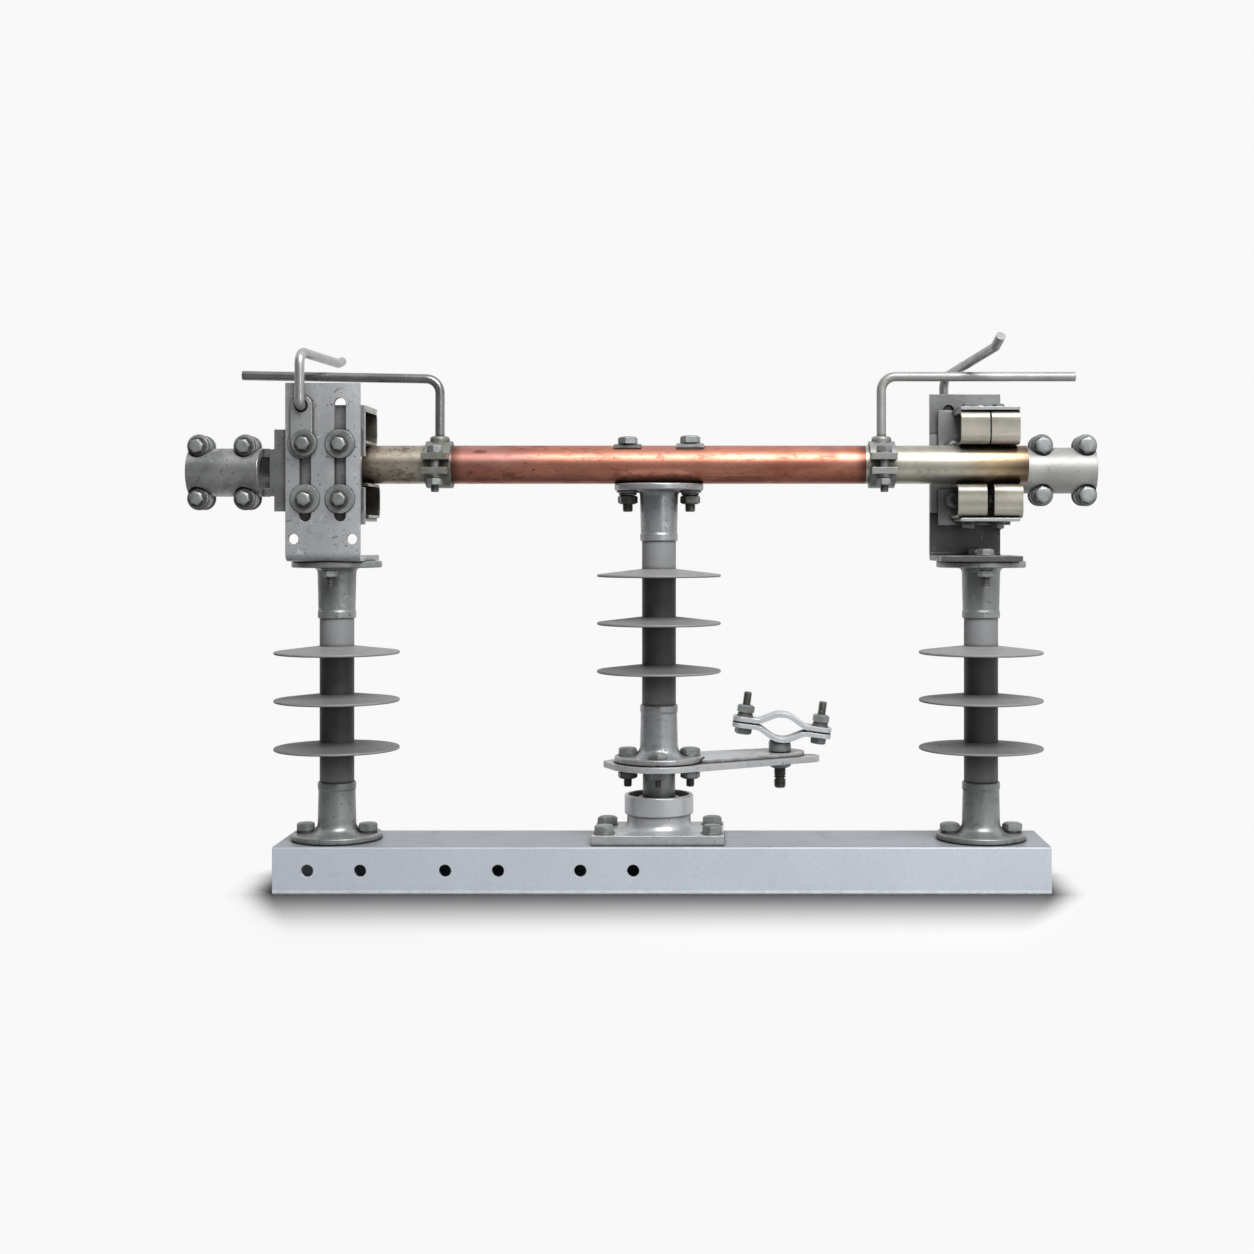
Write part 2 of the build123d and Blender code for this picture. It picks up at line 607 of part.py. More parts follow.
def contact_bracket(side):
    """Bent plate: a foot on the column's flange and an upright, slotted plate."""
    plate_x = (bracket_edge(side, -1), bracket_edge(side, 1))
    foot_x = (plate_x[0], plate_x[1] + OUTWARD[side] * FOOT_EXTRA[side])
    foot_top = SIDE_TOP + BRACKET_THICKNESS
    top = BLADE_HEIGHT + BRACKET_RISE[side]
    bend_start = BRACKET_FACE - BRACKET_BEND - BRACKET_THICKNESS
    bracket = side_box(side, plate_x, (PLATE_INNER, BRACKET_FACE), (SIDE_TOP, top))
    bracket += side_box(side, plate_x, (bend_start, BRACKET_FACE), (SIDE_TOP, foot_top))
    bracket = round_edges(bracket, PLATE_SIDE[side] * BRACKET_FACE, SIDE_TOP, BRACKET_BEND)
    inner_bend = BRACKET_BEND - BRACKET_THICKNESS
    bracket = round_edges(bracket, PLATE_SIDE[side] * PLATE_INNER, foot_top, inner_bend)
    bracket += side_box(side, foot_x, (-FOOT_REACH, bend_start), (SIDE_TOP, foot_top))
    for slot_x in bracket_bolt_points(side):
        low = LOWER_BOLT_HEIGHT - SLOT_BELOW_BOLT
        bracket -= slot_cut(side, slot_x, low, UPPER_BOLT_HEIGHT + SLOT_ABOVE_BOLT, SLOT_WIDTH)
    y = [PLATE_SIDE[side] * reach for reach in (PLATE_INNER - 1, BRACKET_FACE + 1)]
    if side in LOW_HOLE_SIDES:
        for step in (-1, 1):
            hole_x = BRACKET_X[side] + step * LOW_HOLE_SPACING / 2
            bracket -= rod_y(hole_x, y, SIDE_TOP + LOW_HOLE_RISE, LOW_HOLE_RADIUS)
    for hole_x, hole_y in bolt_circle_points(TOP_BOLT_AXES[side]):
        column_x = OUTWARD[side] * COLUMN_SPACING
        bracket -= rod_z(column_x + hole_x, hole_y, SIDE_TOP - 1, foot_top + 1, BOLT_HOLE_RADIUS)
    return bracket


def jaw_x(side):
    """Middle of the jaw along the beam."""
    return BRACKET_X[side] + JAW_SHIFT[side]


def jaw_bolt_points(side):
    """X and Y of the two spring bolts of a jaw."""
    y = PLATE_SIDE[side] * JAW_BOLT_REACH
    return [(jaw_x(side) + step * JAW_BOLT_SPACING / 2, y) for step in (-1, 1)]


def bracket_bolt_points(side):
    """X of the two slotted bolts in a row."""
    return [BRACKET_X[side] + step * SLOT_SPACING / 2 for step in (-1, 1)]


def contact_arm(side, up):
    """Angle bolted to the plate, with a leaf over or under the shoes; up is +1 or -1."""
    seat = UPPER_SHOE_TOP if up > 0 else LOWER_SHOE_BOTTOM
    bolt_z = UPPER_BOLT_HEIGHT if up > 0 else LOWER_BOLT_HEIGHT
    leaf = sorted((seat, seat + up * ARM_THICKNESS))
    lip = 0 if up > 0 else ARM_LIP
    upright = sorted((bolt_z - up * SLOT_WIDTH, seat + up * (ARM_THICKNESS + lip)))
    shoes = 2 * SHOE_LENGTH + UPPER_SHOE_GAP
    x = (jaw_x(side) - shoes / 2, jaw_x(side) + shoes / 2)
    low_x = min(x[0], bracket_bolt_points(side)[0] - SLOT_WIDTH)
    high_x = max(x[1], bracket_bolt_points(side)[1] + SLOT_WIDTH)
    arm = side_box(side, (low_x, high_x), (ARM_INNER, TONGUE_INNER), upright)
    arm += side_box(side, x, (-SHOE_WEB_REACH + ARM_OVERHANG, TONGUE_INNER), leaf)
    for bolt_x in bracket_bolt_points(side):
        y = [PLATE_SIDE[side] * reach for reach in (ARM_INNER - 1, TONGUE_INNER + 1)]
        arm -= rod_y(bolt_x, y, bolt_z, ARM_HOLE_RADIUS)
    for bolt_x, bolt_y in jaw_bolt_points(side):
        arm -= rod_z(bolt_x, bolt_y, leaf[0] - 1, leaf[1] + 1, JAW_BOLT_RADIUS)
    return arm


def contact_shoes(side, up):
    """The two plated channels of one half of the jaw; up is +1 or -1."""
    bottom = UPPER_SHOE_BOTTOM if up > 0 else LOWER_SHOE_BOTTOM
    gap = UPPER_SHOE_GAP if up > 0 else LOWER_SHOE_GAP
    depth = SHOE_WEB_REACH + SHOE_TIP_REACH
    outside = Pos(depth / 2, SHOE_HEIGHT / 2) * Rectangle(depth, SHOE_HEIGHT)
    outside = fillet(outside.vertices().group_by(Axis.X)[0], SHOE_BEND)
    inside = Pos(depth / 2 + SHOE_STRIP, SHOE_HEIGHT / 2) * Rectangle(depth, SHOE_HEIGHT - 2 * SHOE_STRIP)
    inside = fillet(inside.vertices().group_by(Axis.X)[0], SHOE_BEND - SHOE_STRIP)
    channel = extrude(outside - inside, SHOE_LENGTH)
    facing = PLATE_SIDE[side]
    shoes = []
    for step, (bolt_x, bolt_y) in zip((-1, 1), jaw_bolt_points(side)):
        low_x = jaw_x(side) + (gap / 2 if step > 0 else -gap / 2 - SHOE_LENGTH)
        plane = Plane(
            origin=(low_x if facing > 0 else low_x + SHOE_LENGTH, -facing * SHOE_WEB_REACH, bottom),
            x_dir=(0, facing, 0),
            z_dir=(facing, 0, 0),
        )
        shoe = plane * channel
        shoe -= rod_z(bolt_x, bolt_y, bottom - 1, bottom + SHOE_HEIGHT + 1, JAW_BOLT_RADIUS)
        shoes.append(shoe)
    return shoes


def jaw_bolts(side):
    """Upright bolts that hold the two arms and guide the shoes."""
    bottom = LOWER_SHOE_BOTTOM - ARM_THICKNESS
    top = UPPER_SHOE_TOP + ARM_THICKNESS
    bolts = []
    for x, y in jaw_bolt_points(side):
        bolt = rod_z(x, y, bottom - JAW_BOLT_HEAD_HEIGHT, top + JAW_BOLT_HEAD_HEIGHT, JAW_BOLT_RADIUS)
        bolt += rod_z(x, y, top, top + JAW_BOLT_HEAD_HEIGHT, JAW_BOLT_HEAD_RADIUS)
        bolt += rod_z(x, y, bottom - JAW_BOLT_HEAD_HEIGHT, bottom, JAW_BOLT_HEAD_RADIUS)
        bolts.append(bolt)
    return bolts


def jaw_springs(side):
    """Compression springs round the bolts inside the shoes, as plain sleeves."""
    springs = []
    for x, y in jaw_bolt_points(side):
        for bottom in (LOWER_SHOE_BOTTOM, UPPER_SHOE_BOTTOM):
            low = bottom + SHOE_STRIP
            high = bottom + SHOE_HEIGHT - SHOE_STRIP
            sleeve = rod_z(x, y, low, high, SPRING_RADIUS)
            springs.append(sleeve - rod_z(x, y, low - 1, high + 1, SPRING_RADIUS - SPRING_WIRE))
    return springs


def clamp_places(side):
    """X of the trough's inner end, the saddle's inner end and the clamp's outer end."""
    out = OUTWARD[side]
    trough = bracket_edge(side, 1) + out * (TONGUE_SHOULDER + NECK_LENGTH[side])
    saddle = trough + out * TROUGH_EXTRA
    return trough, saddle, saddle + out * SADDLE_LENGTH


def clamp_height(side):
    """Height of the conductor's axis."""
    return BLADE_HEIGHT - CLAMP_DROP[side]


def ear_points(side):
    """X and Z of the four bolts of the terminal clamp."""
    outer_x = clamp_places(side)[2] - OUTWARD[side] * EAR_RADIUS
    return [
        (x, clamp_height(side) + step * EAR_SPACING_Z / 2)
        for x in (outer_x, outer_x - OUTWARD[side] * EAR_SPACING_X)
        for step in (-1, 1)
    ]


def clamp_half(side, away, start):
    """Half of the terminal clamp; away is +1 on the side turned from the blade."""
    axis_y = PLATE_SIDE[side] * TERMINAL_AXIS
    axis_z = clamp_height(side)
    out = PLATE_SIDE[side] * away
    low_x, high_x = sorted((start, clamp_places(side)[2]))
    outer_radius = CONDUCTOR_RADIUS + SHELL_WALL
    face = axis_y + out * PARTING_GAP / 2
    seat = face + out * EAR_THICKNESS
    beyond = 2 * outer_radius
    half = rod_x((low_x, high_x), axis_y, axis_z, outer_radius)
    for x, z in ear_points(side):
        low_y, high_y = sorted((face, seat))
        low_z, high_z = sorted((axis_z, z))
        half += rod_y(x, (face, seat), z, EAR_RADIUS)
        half += box_between((x - EAR_RADIUS, low_y, low_z), (x + EAR_RADIUS, high_y, high_z))
    half -= rod_x((low_x - 1, high_x + 1), axis_y, axis_z, CONDUCTOR_RADIUS)
    behind = sorted((face, face - out * beyond))
    half -= box_between(
        (low_x - 1, behind[0], axis_z - beyond), (high_x + 1, behind[1], axis_z + beyond)
    )
    for x, z in ear_points(side):
        half -= rod_y(x, (seat, seat + out * beyond), z, EAR_SEAT_RADIUS)
        half -= rod_y(x, (axis_y - beyond, axis_y + beyond), z, EAR_HOLE_RADIUS)
    return half


def terminal_saddle(side):
    """Loose half of the terminal clamp, on the side turned from the blade."""
    return clamp_half(side, 1, clamp_places(side)[1])


def terminal_tongue(side):
    """Cast tongue behind the bracket plate, with the fixed half of the clamp."""
    shoulder = bracket_edge(side, 1) + OUTWARD[side] * TONGUE_SHOULDER
    trough = clamp_places(side)[0]
    reach = (TONGUE_INNER, PLATE_INNER)
    heights = (LOWER_BOLT_HEIGHT - TONGUE_BELOW_BOLT, UPPER_BOLT_HEIGHT + TONGUE_ABOVE_BOLT)
    tongue = side_box(side, (bracket_edge(side, -1), shoulder), reach, heights)
    y = [PLATE_SIDE[side] * r for r in (TONGUE_INNER - 1, PLATE_INNER + 1)]
    for bolt_z in (UPPER_BOLT_HEIGHT, LOWER_BOLT_HEIGHT):
        for bolt_x in bracket_bolt_points(side):
            tongue -= rod_y(bolt_x, y, bolt_z, ARM_HOLE_RADIUS)
    neck_low = clamp_height(side) - NECK_HEIGHT / 2
    neck = side_box(side, (shoulder, trough), reach, (neck_low, neck_low + NECK_HEIGHT))
    return tongue + neck + clamp_half(side, -1, trough)


def horn_strap(side):
    """Strap bolted over a slot, with a hole for the fixed horn."""
    x = BRACKET_X[side] + HORN_STRAP_SHIFT
    reach = (BRACKET_FACE, BRACKET_FACE + HORN_STRAP_THICKNESS)
    y = [PLATE_SIDE[side] * r for r in reach]
    radius = HORN_STRAP_WIDTH / 2
    strap = side_box(side, (x - radius, x + radius), reach, (UPPER_BOLT_HEIGHT, HORN_HOLE_HEIGHT))
    strap += rod_y(x, y, HORN_HOLE_HEIGHT, radius) + rod_y(x, y, UPPER_BOLT_HEIGHT, radius)
    deep = [PLATE_SIDE[side] * r for r in (reach[0] - 1, reach[1] + 1)]
    hole_radius = HORN_RADIUS + HORN_HOLE_FIT
    strap -= rod_y(x, deep, HORN_HOLE_HEIGHT, hole_radius)
    rim = [
        edge
        for edge in strap.edges().filter_by(GeomType.CIRCLE)
        if abs(edge.radius - hole_radius) < 0.01 and abs(edge.center().Y - y[1]) < 0.01
    ]
    strap = chamfer(rim, HORN_HOLE_CHAMFER)
    return strap - rod_y(bracket_bolt_points(side)[0], deep, UPPER_BOLT_HEIGHT, ARM_HOLE_RADIUS)


def fixed_horn(side):
    """Rod hooked into the strap, arching over the moving horn to a tip that kicks up."""
    x = BRACKET_X[side] + HORN_STRAP_SHIFT
    plate = PLATE_SIDE[side]
    stand = plate * (BRACKET_FACE + HORN_STRAP_THICKNESS + HORN_STANDOFF)
    knee = Vector(x, stand, BLADE_HEIGHT + HORN_KNEE_RISE[side])
    tip = Vector(
        BRACKET_X[side] + HORN_TIP_SHIFT[side],
        -plate * HORN_TIP_REACH,
        BLADE_HEIGHT + HORN_TIP_RISE[side],
    )
    run = tip - Vector(0, 0, HORN_TIP_KICK[side]) - knee
    kick = knee + run * (1 - HORN_TIP_LENGTH / run.length)
    points = [
        (x, plate * BRACKET_FACE, HORN_HOLE_HEIGHT),
        (x, stand, HORN_HOLE_HEIGHT),
        knee,
        kick,
        tip,
    ]
    return bent_rod(points, HORN_RADIUS, [HORN_HOOK_BEND, HORN_KNEE_BEND, HORN_TIP_BEND])


def all_pieces():
    """Every sub-part, by its name: one solid, or a list of solids that don't touch."""
    pieces = {
        "base_beam": base_beam(),
        "bearing_base": bearing_base(),
        "bearing_ring": bearing_ring(),
        "rotor_shaft": rotor_shaft(),
        "lever_plate": lever_plate(),
        "lever_bar": lever_bar(),
        "pivot_stud": pivot_stud(),
        "lower_clamp_strap": clamp_strap(-1),
        "upper_clamp_strap": clamp_strap(1),
        "clamp_bolts": clamp_bolts(),
        "blade_tube": blade_tube(),
    }
    columns = {
        "left": (-COLUMN_SPACING, SIDE_BASE),
        "centre": (0, CENTRE_BASE),
        "right": (COLUMN_SPACING, SIDE_BASE),
    }
    for name, (x, base) in columns.items():
        pieces[f"{name}_base_fitting"] = end_fitting(
            x, base, 1, BASE_FITTING_HEIGHT, BASE_FLARE, BASE_BOLT_AXES[name]
        )
        pieces[f"{name}_housing"] = insulator_housing(x, base)
        top = base + INSULATOR_HEIGHT
        pieces[f"{name}_top_fitting"] = end_fitting(
            x, top, -1, TOP_FITTING_HEIGHT, TOP_FLARE, TOP_BOLT_AXES[name]
        )
    for side in SIDES:
        pieces[f"{side}_blade_end"] = blade_end(side)
        pieces[f"{side}_horn_collar"] = horn_collar(side)
        pieces[f"{side}_moving_horn"] = moving_horn(side)
        pieces[f"{side}_contact_bracket"] = contact_bracket(side)
        pieces[f"{side}_upper_contact_arm"] = contact_arm(side, 1)
        pieces[f"{side}_lower_contact_arm"] = contact_arm(side, -1)
        pieces[f"{side}_upper_shoes"] = contact_shoes(side, 1)
        pieces[f"{side}_lower_shoes"] = contact_shoes(side, -1)
        pieces[f"{side}_jaw_bolts"] = jaw_bolts(side)
        pieces[f"{side}_jaw_springs"] = jaw_springs(side)
        pieces[f"{side}_terminal_tongue"] = terminal_tongue(side)
        pieces[f"{side}_terminal_saddle"] = terminal_saddle(side)
        pieces[f"{side}_horn_strap"] = horn_strap(side)
        pieces[f"{side}_fixed_horn"] = fixed_horn(side)
    return pieces


os.makedirs("parts", exist_ok=True)
for node, piece in all_pieces().items():
    solids = piece if isinstance(piece, list) else [piece]
    flat = [solid for item in solids for solid in item.solids()]
    export_step(flat[0] if len(flat) == 1 else Compound(children=flat), f"parts/{node}.step")
    print(node, len(flat), round(sum(solid.volume for solid in flat)))
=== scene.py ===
# %% [markdown]
# # A disconnect switch, piece by piece
#
# This is one pole of a switch that opens a high-voltage line where people can see the gap. A long
# channel carries three polymer posts. The middle post turns on a bearing and swings a copper tube out
# of the sprung jaws on the two outer posts.
#
# The frame brings every steel, cast and copper piece at its real size. What is left for Blender is what
# a fitter takes from the hardware box, which is bolts, nuts, washers and springs, and the finish of every
# surface. All lengths are in metres, and the hardware finds its places on the frame.

# %% Load the frame and keep its box
import json
import math

import bpy
import numpy as np
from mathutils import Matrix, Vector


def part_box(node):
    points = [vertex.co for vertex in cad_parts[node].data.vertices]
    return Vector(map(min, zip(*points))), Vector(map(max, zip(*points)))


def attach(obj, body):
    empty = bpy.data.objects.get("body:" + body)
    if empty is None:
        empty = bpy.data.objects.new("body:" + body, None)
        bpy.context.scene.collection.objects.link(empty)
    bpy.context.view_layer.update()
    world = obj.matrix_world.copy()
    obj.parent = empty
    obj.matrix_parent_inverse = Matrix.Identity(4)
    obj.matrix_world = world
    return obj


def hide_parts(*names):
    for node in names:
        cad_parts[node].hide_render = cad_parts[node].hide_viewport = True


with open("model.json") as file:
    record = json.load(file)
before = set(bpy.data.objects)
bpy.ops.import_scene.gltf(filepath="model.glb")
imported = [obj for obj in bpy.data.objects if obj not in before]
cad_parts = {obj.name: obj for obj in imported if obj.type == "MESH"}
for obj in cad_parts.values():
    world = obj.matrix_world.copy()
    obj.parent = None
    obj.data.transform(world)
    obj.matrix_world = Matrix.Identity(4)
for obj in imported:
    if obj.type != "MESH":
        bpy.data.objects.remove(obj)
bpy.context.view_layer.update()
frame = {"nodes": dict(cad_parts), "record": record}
nodes = frame["nodes"]
MM = 0.001

# %% [markdown]
# ## Places that the hardware is built to
#
# A bolt belongs to a hole, and a hole belongs to a casting. We could type each bolt's place, but then a
# change to a casting would leave its bolts in the air. Reading the boxes of the nodes keeps them together.
# The left bracket's plate stands in front of its post and the right one behind, so along Y the plates have
# the same signs as the sides have along X.

# %% Heights and centres read from the frame
SIDES = ("left", "right")
OUT = {"left": -1, "right": 1}


def lowest(node, axis=2):
    """Lowest coordinate of a node, its height unless another axis is given."""
    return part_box(node)[0][axis]


def highest(node, axis=2):
    """Highest coordinate of a node, its height unless another axis is given."""
    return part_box(node)[1][axis]


def centre(node, axis=2):
    """Middle of a node's box along an axis."""
    return (lowest(node, axis) + highest(node, axis)) / 2


column_x = {side: centre(f"{side}_base_fitting", 0) for side in SIDES}
bolt_reach = 28.5 * MM
flange_thickness = 6 * MM
print("outer columns stand at", {side: round(x, 4) for side, x in column_x.items()})

# %% [markdown]
# ## Shapes as arrays
#
# A turned or threaded piece is a radius that depends on two numbers: the angle round the axis and the
# height along it. We fill a whole grid of angles and heights at once with numpy, which is faster than a
# loop over vertices, and the formula stays readable. A shape is kept as its points, its four-sided faces
# and the rings that close its ends, until it becomes a mesh.

# %% Grids, joins and placing
TURN = 2 * math.pi
ROD_COLUMNS, RING_COLUMNS, HEXAGON_COLUMNS = 24, 40, 48


def grid_shape(points, closed=False):
    """Shape from a grid of points: columns go round, and the rows join up too or end in caps."""
    rows, columns = points.shape[:2]
    row, column = np.meshgrid(np.arange(rows if closed else rows - 1), np.arange(columns), indexing="ij")
    above, beside = (row + 1) % rows, (column + 1) % columns
    here, over = row * columns, above * columns
    quads = np.stack([here + column, here + beside, over + beside, over + column], axis=-1)
    first = np.arange(columns)
    caps = [] if closed else [first[::-1], first + (rows - 1) * columns]
    return points.reshape(-1, 3), quads.reshape(-1, 4), caps


def angles(columns):
    """Angles of the columns round an axis."""
    return np.arange(columns) * TURN / columns


def round_shape(radius, height, columns=ROD_COLUMNS, closed=False):
    """Shape round the Z axis: point = (radius cos angle, radius sin angle, height)."""
    angle = angles(columns)
    grid = np.broadcast_arrays(radius * np.cos(angle), radius * np.sin(angle), height)
    return grid_shape(np.stack(grid, axis=-1), closed)


def swept(path, across, up, section):
    """Section carried along a path: point = path + x across + y up."""
    x, y = section.T[:, None, :, None]
    return grid_shape(path[:, None] + x * across[:, None] + y * up[:, None])


def carried_round(angle, radius, height, section):
    """Section carried round the Z axis, while its height changes."""
    out = np.stack([np.cos(angle), np.sin(angle), 0 * angle], axis=-1)
    up = np.tile([0.0, 0.0, 1.0], (len(angle), 1))
    return swept(radius * out + height[:, None] * up, out, up, section)


def joined(shapes):
    """Several shapes as one."""
    starts = np.cumsum([0] + [len(points) for points, _, _ in shapes])
    points = np.concatenate([points for points, _, _ in shapes])
    quads = np.concatenate([quads + start for (_, quads, _), start in zip(shapes, starts)])
    caps = [cap + start for (_, _, ends), start in zip(shapes, starts) for cap in ends]
    return points, quads, caps


def placed(shape, origin, direction=(0, 0, 1), spin=0.0):
    """Shape turned by spin round its axis, laid along direction and moved to origin."""
    points, quads, caps = shape
    z = np.array(direction) / np.linalg.norm(direction)
    x = np.cross((0.0, 1.0, 0.0) if abs(z[1]) < 0.9 else (1.0, 0.0, 0.0), z)
    x /= np.linalg.norm(x)
    y = np.cross(z, x)
    turned = np.array([math.cos(spin) * x + math.sin(spin) * y, math.cos(spin) * y - math.sin(spin) * x, z])
    return points @ turned + np.array(origin), quads, caps


# %% [markdown]
# ## Hexagons, washers and threads
#
# A forged hexagon head isn't a plain prism: its corners are turned off at 30 degrees, which leaves the
# little arcs that catch the light. We get them by taking, at each height, the smaller of two radii, the
# hexagon's and a cone's. A thread is a rod whose radius rises and falls with height minus angle.

# %% Turned and threaded shapes
CONE_RISE = math.tan(math.radians(60))
CORNERS_PER_FLATS, FACE_PER_FLATS, CONE_STEPS = 1.1547, 0.42, 5
SPLIT_STEPS, ROWS_PER_PITCH, STEPS_PER_COIL, WIRE_COLUMNS = 37, 6, 20, 8


def hexagon(flats, height, both_ends=False, crown=0.0):
    """Hexagon block from 0 to height: radius = the smaller of the hexagon and a 30 degree cone.

    The hexagon's radius is half the flats over the cosine of the angle from the nearest flat's middle.
    """
    face = FACE_PER_FLATS * flats
    steps = np.linspace(0, (CORNERS_PER_FLATS * flats / 2 - face) / CONE_RISE, CONE_STEPS)
    z = np.concatenate([steps if both_ends else [0.0], height - steps[::-1]])
    cone = face + (height - z) * CONE_RISE
    if both_ends:
        cone = np.minimum(cone, face + z * CONE_RISE)
    from_flat = (angles(HEXAGON_COLUMNS) + math.pi / 6) % (math.pi / 3) - math.pi / 6
    radius = np.minimum(flats / 2 / np.cos(from_flat), cone[:, None])
    if crown:
        radius = np.concatenate([radius, np.full((2, HEXAGON_COLUMNS), face) * [[0.8], [0.35]]])
        z = np.concatenate([z, height + crown * np.array([0.6, 1.0])])
    return round_shape(radius, z[:, None], HEXAGON_COLUMNS)


def washer(inner, outer, thickness):
    """Flat ring from 0 to thickness with its corners cut by a fifth of the thickness."""
    cut = thickness / 5
    outline = np.array([
        (outer - cut, 0), (outer, cut), (outer, thickness - cut), (outer - cut, thickness),
        (inner + cut, thickness), (inner, thickness - cut), (inner, cut), (inner + cut, 0),
    ])
    return round_shape(outline[:, :1], outline[:, 1:], RING_COLUMNS, closed=True)


def spring_washer(inner, outer, thickness):
    """Split ring: a square section carried round 350 degrees, rising a little as it goes."""
    angle = np.linspace(math.radians(5), math.radians(355), SPLIT_STEPS)
    height = thickness * (0.5 + 0.18 * np.linspace(-0.5, 0.5, len(angle)))
    half = thickness * 0.41
    section = np.array([(inner, -half), (inner, half), (outer, half), (outer, -half)])
    return carried_round(angle, 0.0, height, section)


def rod(radius, length):
    """Plain shank from 0 to length."""
    return round_shape(radius, np.array([[0.0], [length]]))


def thread(radius, pitch, length):
    """Threaded rod: radius less 0.6 pitch times a triangle wave of height over pitch minus turns."""
    z = np.linspace(0, length, int(length / pitch * ROWS_PER_PITCH) + 2)[:, None]
    wave = np.abs(2 * ((z / pitch - np.arange(ROD_COLUMNS) / ROD_COLUMNS) % 1) - 1)
    taper = 0.5 * pitch * np.clip(1 - (length - z) / pitch, 0, 1)
    return round_shape(radius - 0.6 * pitch * wave - taper, z)


def coil(radius, wire, bottom, top, turns):
    """Compression spring: a helix whose first and last turns lie flat, carrying a round wire."""
    along = np.linspace(0, 1, int(turns * STEPS_PER_COIL))
    dead = 0.9 / turns
    rise = np.clip((along - dead) / (1 - 2 * dead), 0, 1)
    closed = 2 * wire * (np.minimum(along, dead) + np.maximum(along - (1 - dead), 0)) * turns
    travel = top - bottom - 2 * wire - 4 * wire * dead * turns
    around = angles(WIRE_COLUMNS)
    section = wire * np.stack([-np.cos(around), np.sin(around)], axis=-1)
    return carried_round(along * turns * TURN, radius, bottom + wire + closed + travel * rise, section)


# %% [markdown]
# ## Metric hardware
#
# A fitter stacks a bolt in the same order each time: head, washers, the pieces that are clamped, more
# washers and a nut. One function stacks them along any direction, and each joint names its own rings. The
# heads and flat washers are grey, while bare threads have gone dark, and the spring washers are laid dark as
# well, partly their own colour and partly a painted shade under the heads. So a bolt comes back in three
# parts, which become three pieces with finishes of their own.

# %% Sizes, rings and the stack of one bolt
METRIC = {
    "M6": {"rod": 6, "pitch": 1.0, "flats": 10, "head": 4.2, "nut_flats": 10, "nut": 5.2},
    "M8": {"rod": 8, "pitch": 1.25, "flats": 12.8, "head": 5.6, "nut_flats": 12.8, "nut": 6.8},
    "M10": {"rod": 10, "pitch": 1.5, "flats": 16, "head": 6.4, "nut_flats": 16, "nut": 8.2},
}
FLAT_6, FLAT_8, FLAT_10 = ("flat", 6.2, 1.4), ("flat", 8.2, 1.5), ("flat", 10.2, 2.0)
WIDE_SPLIT_8, SPLIT_8, SPLIT_10 = ("split", 7.8, 2.2), ("split", 6.9, 2.0), ("split", 8.2, 2.3)
RING_ROOM, SHANK_SHARE, THREAD_START = 1.05, 0.97, 0.1 * MM
UP, DOWN, FRONT = (0, 0, 1), (0, 0, -1), (0, -1, 0)
rng = np.random.default_rng(7)


def random_spin():
    """A fitter leaves each hexagon at its own angle."""
    return float(rng.uniform(0, math.pi / 3))


def ring_stack(rings, radius):
    """Washers laid one on the other from 0 upwards, by kind, and the height that they reach."""
    stack, height = {"split": [], "flat": []}, 0.0
    for kind, outer, thickness in rings:
        make = spring_washer if kind == "split" else washer
        ring = make(radius * RING_ROOM, outer * MM, thickness * MM)
        stack[kind].append(placed(ring, (0, 0, height), spin=random_spin() * 6))
        height += thickness * MM
    return stack, height


def bolt(size, origin, direction, grip, above=(), below=(), tail=5.0, crown=0.25, **changed):
    """Bolt whose head stands over origin and points along direction; grip is what it clamps.

    above and below list the rings under the head and at the nut, from the clamped piece outwards, each as
    its kind, radius and thickness. tail is the thread beyond the nut. These and the changed sizes are in
    millimetres.
    """
    sizes = {name: value * MM for name, value in {**METRIC[size], **changed}.items()}
    radius = sizes["rod"] / 2
    rings, top = ring_stack(above, radius)
    low_rings, depth = ring_stack(below, radius)
    for kind, stack in rings.items():
        stack += [placed(ring, (0, 0, -grip), DOWN) for ring in low_rings[kind]]
    bottom = -grip - depth - sizes["nut"]
    head = hexagon(sizes["flats"], sizes["head"], crown=crown * MM)
    nut = hexagon(sizes["nut_flats"], sizes["nut"], both_ends=True)
    head, nut = placed(head, (0, 0, top), spin=random_spin()), placed(nut, (0, 0, bottom), spin=random_spin())
    shank = placed(rod(radius * SHANK_SHARE, top - bottom), (0, 0, bottom))
    end = placed(thread(radius, sizes["pitch"], tail * MM), (0, 0, bottom + THREAD_START), DOWN)
    # The spring washers go with the dark threads; their dark is partly a painted shade under the head.
    parts = {"": [head, shank] + rings["flat"], "_threads": rings["split"] + [end], "_nuts": [nut]}
    return {part: [placed(shape, origin, direction) for shape in shapes] for part, shapes in parts.items()}


# %% Turn shapes into pieces of the scene
SHARP_ANGLE = math.radians(32)
added = {}


def in_scene(name, data):
    """Object that shows the data, linked to the scene."""
    built = bpy.data.objects.new(name, data)
    bpy.context.scene.collection.objects.link(built)
    return built


def piece(name, shapes, body, finish):
    """Blender mesh of the joined shapes, which rides on body; its material comes later, by its finish."""
    points, quads, caps = joined(shapes)
    mesh = bpy.data.meshes.new(name)
    mesh.from_pydata(points.tolist(), [], quads.tolist() + [cap.tolist() for cap in caps])
    mesh.shade_smooth()
    mesh.set_sharp_from_angle(angle=SHARP_ANGLE)
    built = in_scene(name, mesh)
    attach(built, body)
    added[name] = (built, finish)
    print(f"{name}: {len(points)} points, {len(quads) + len(caps)} faces")
    return built


def bolt_pieces(name, bolts, body, nut_finish="bolts"):
    """The three pieces of a set of bolts: heads with flat washers, dark threads and rings, and nuts."""
    finish = {"": "bolts", "_threads": "dark_bolts", "_nuts": nut_finish}
    return [
        piece(name + part, [shape for one in bolts for shape in one[part]], body, look)
        for part, look in finish.items()
    ]


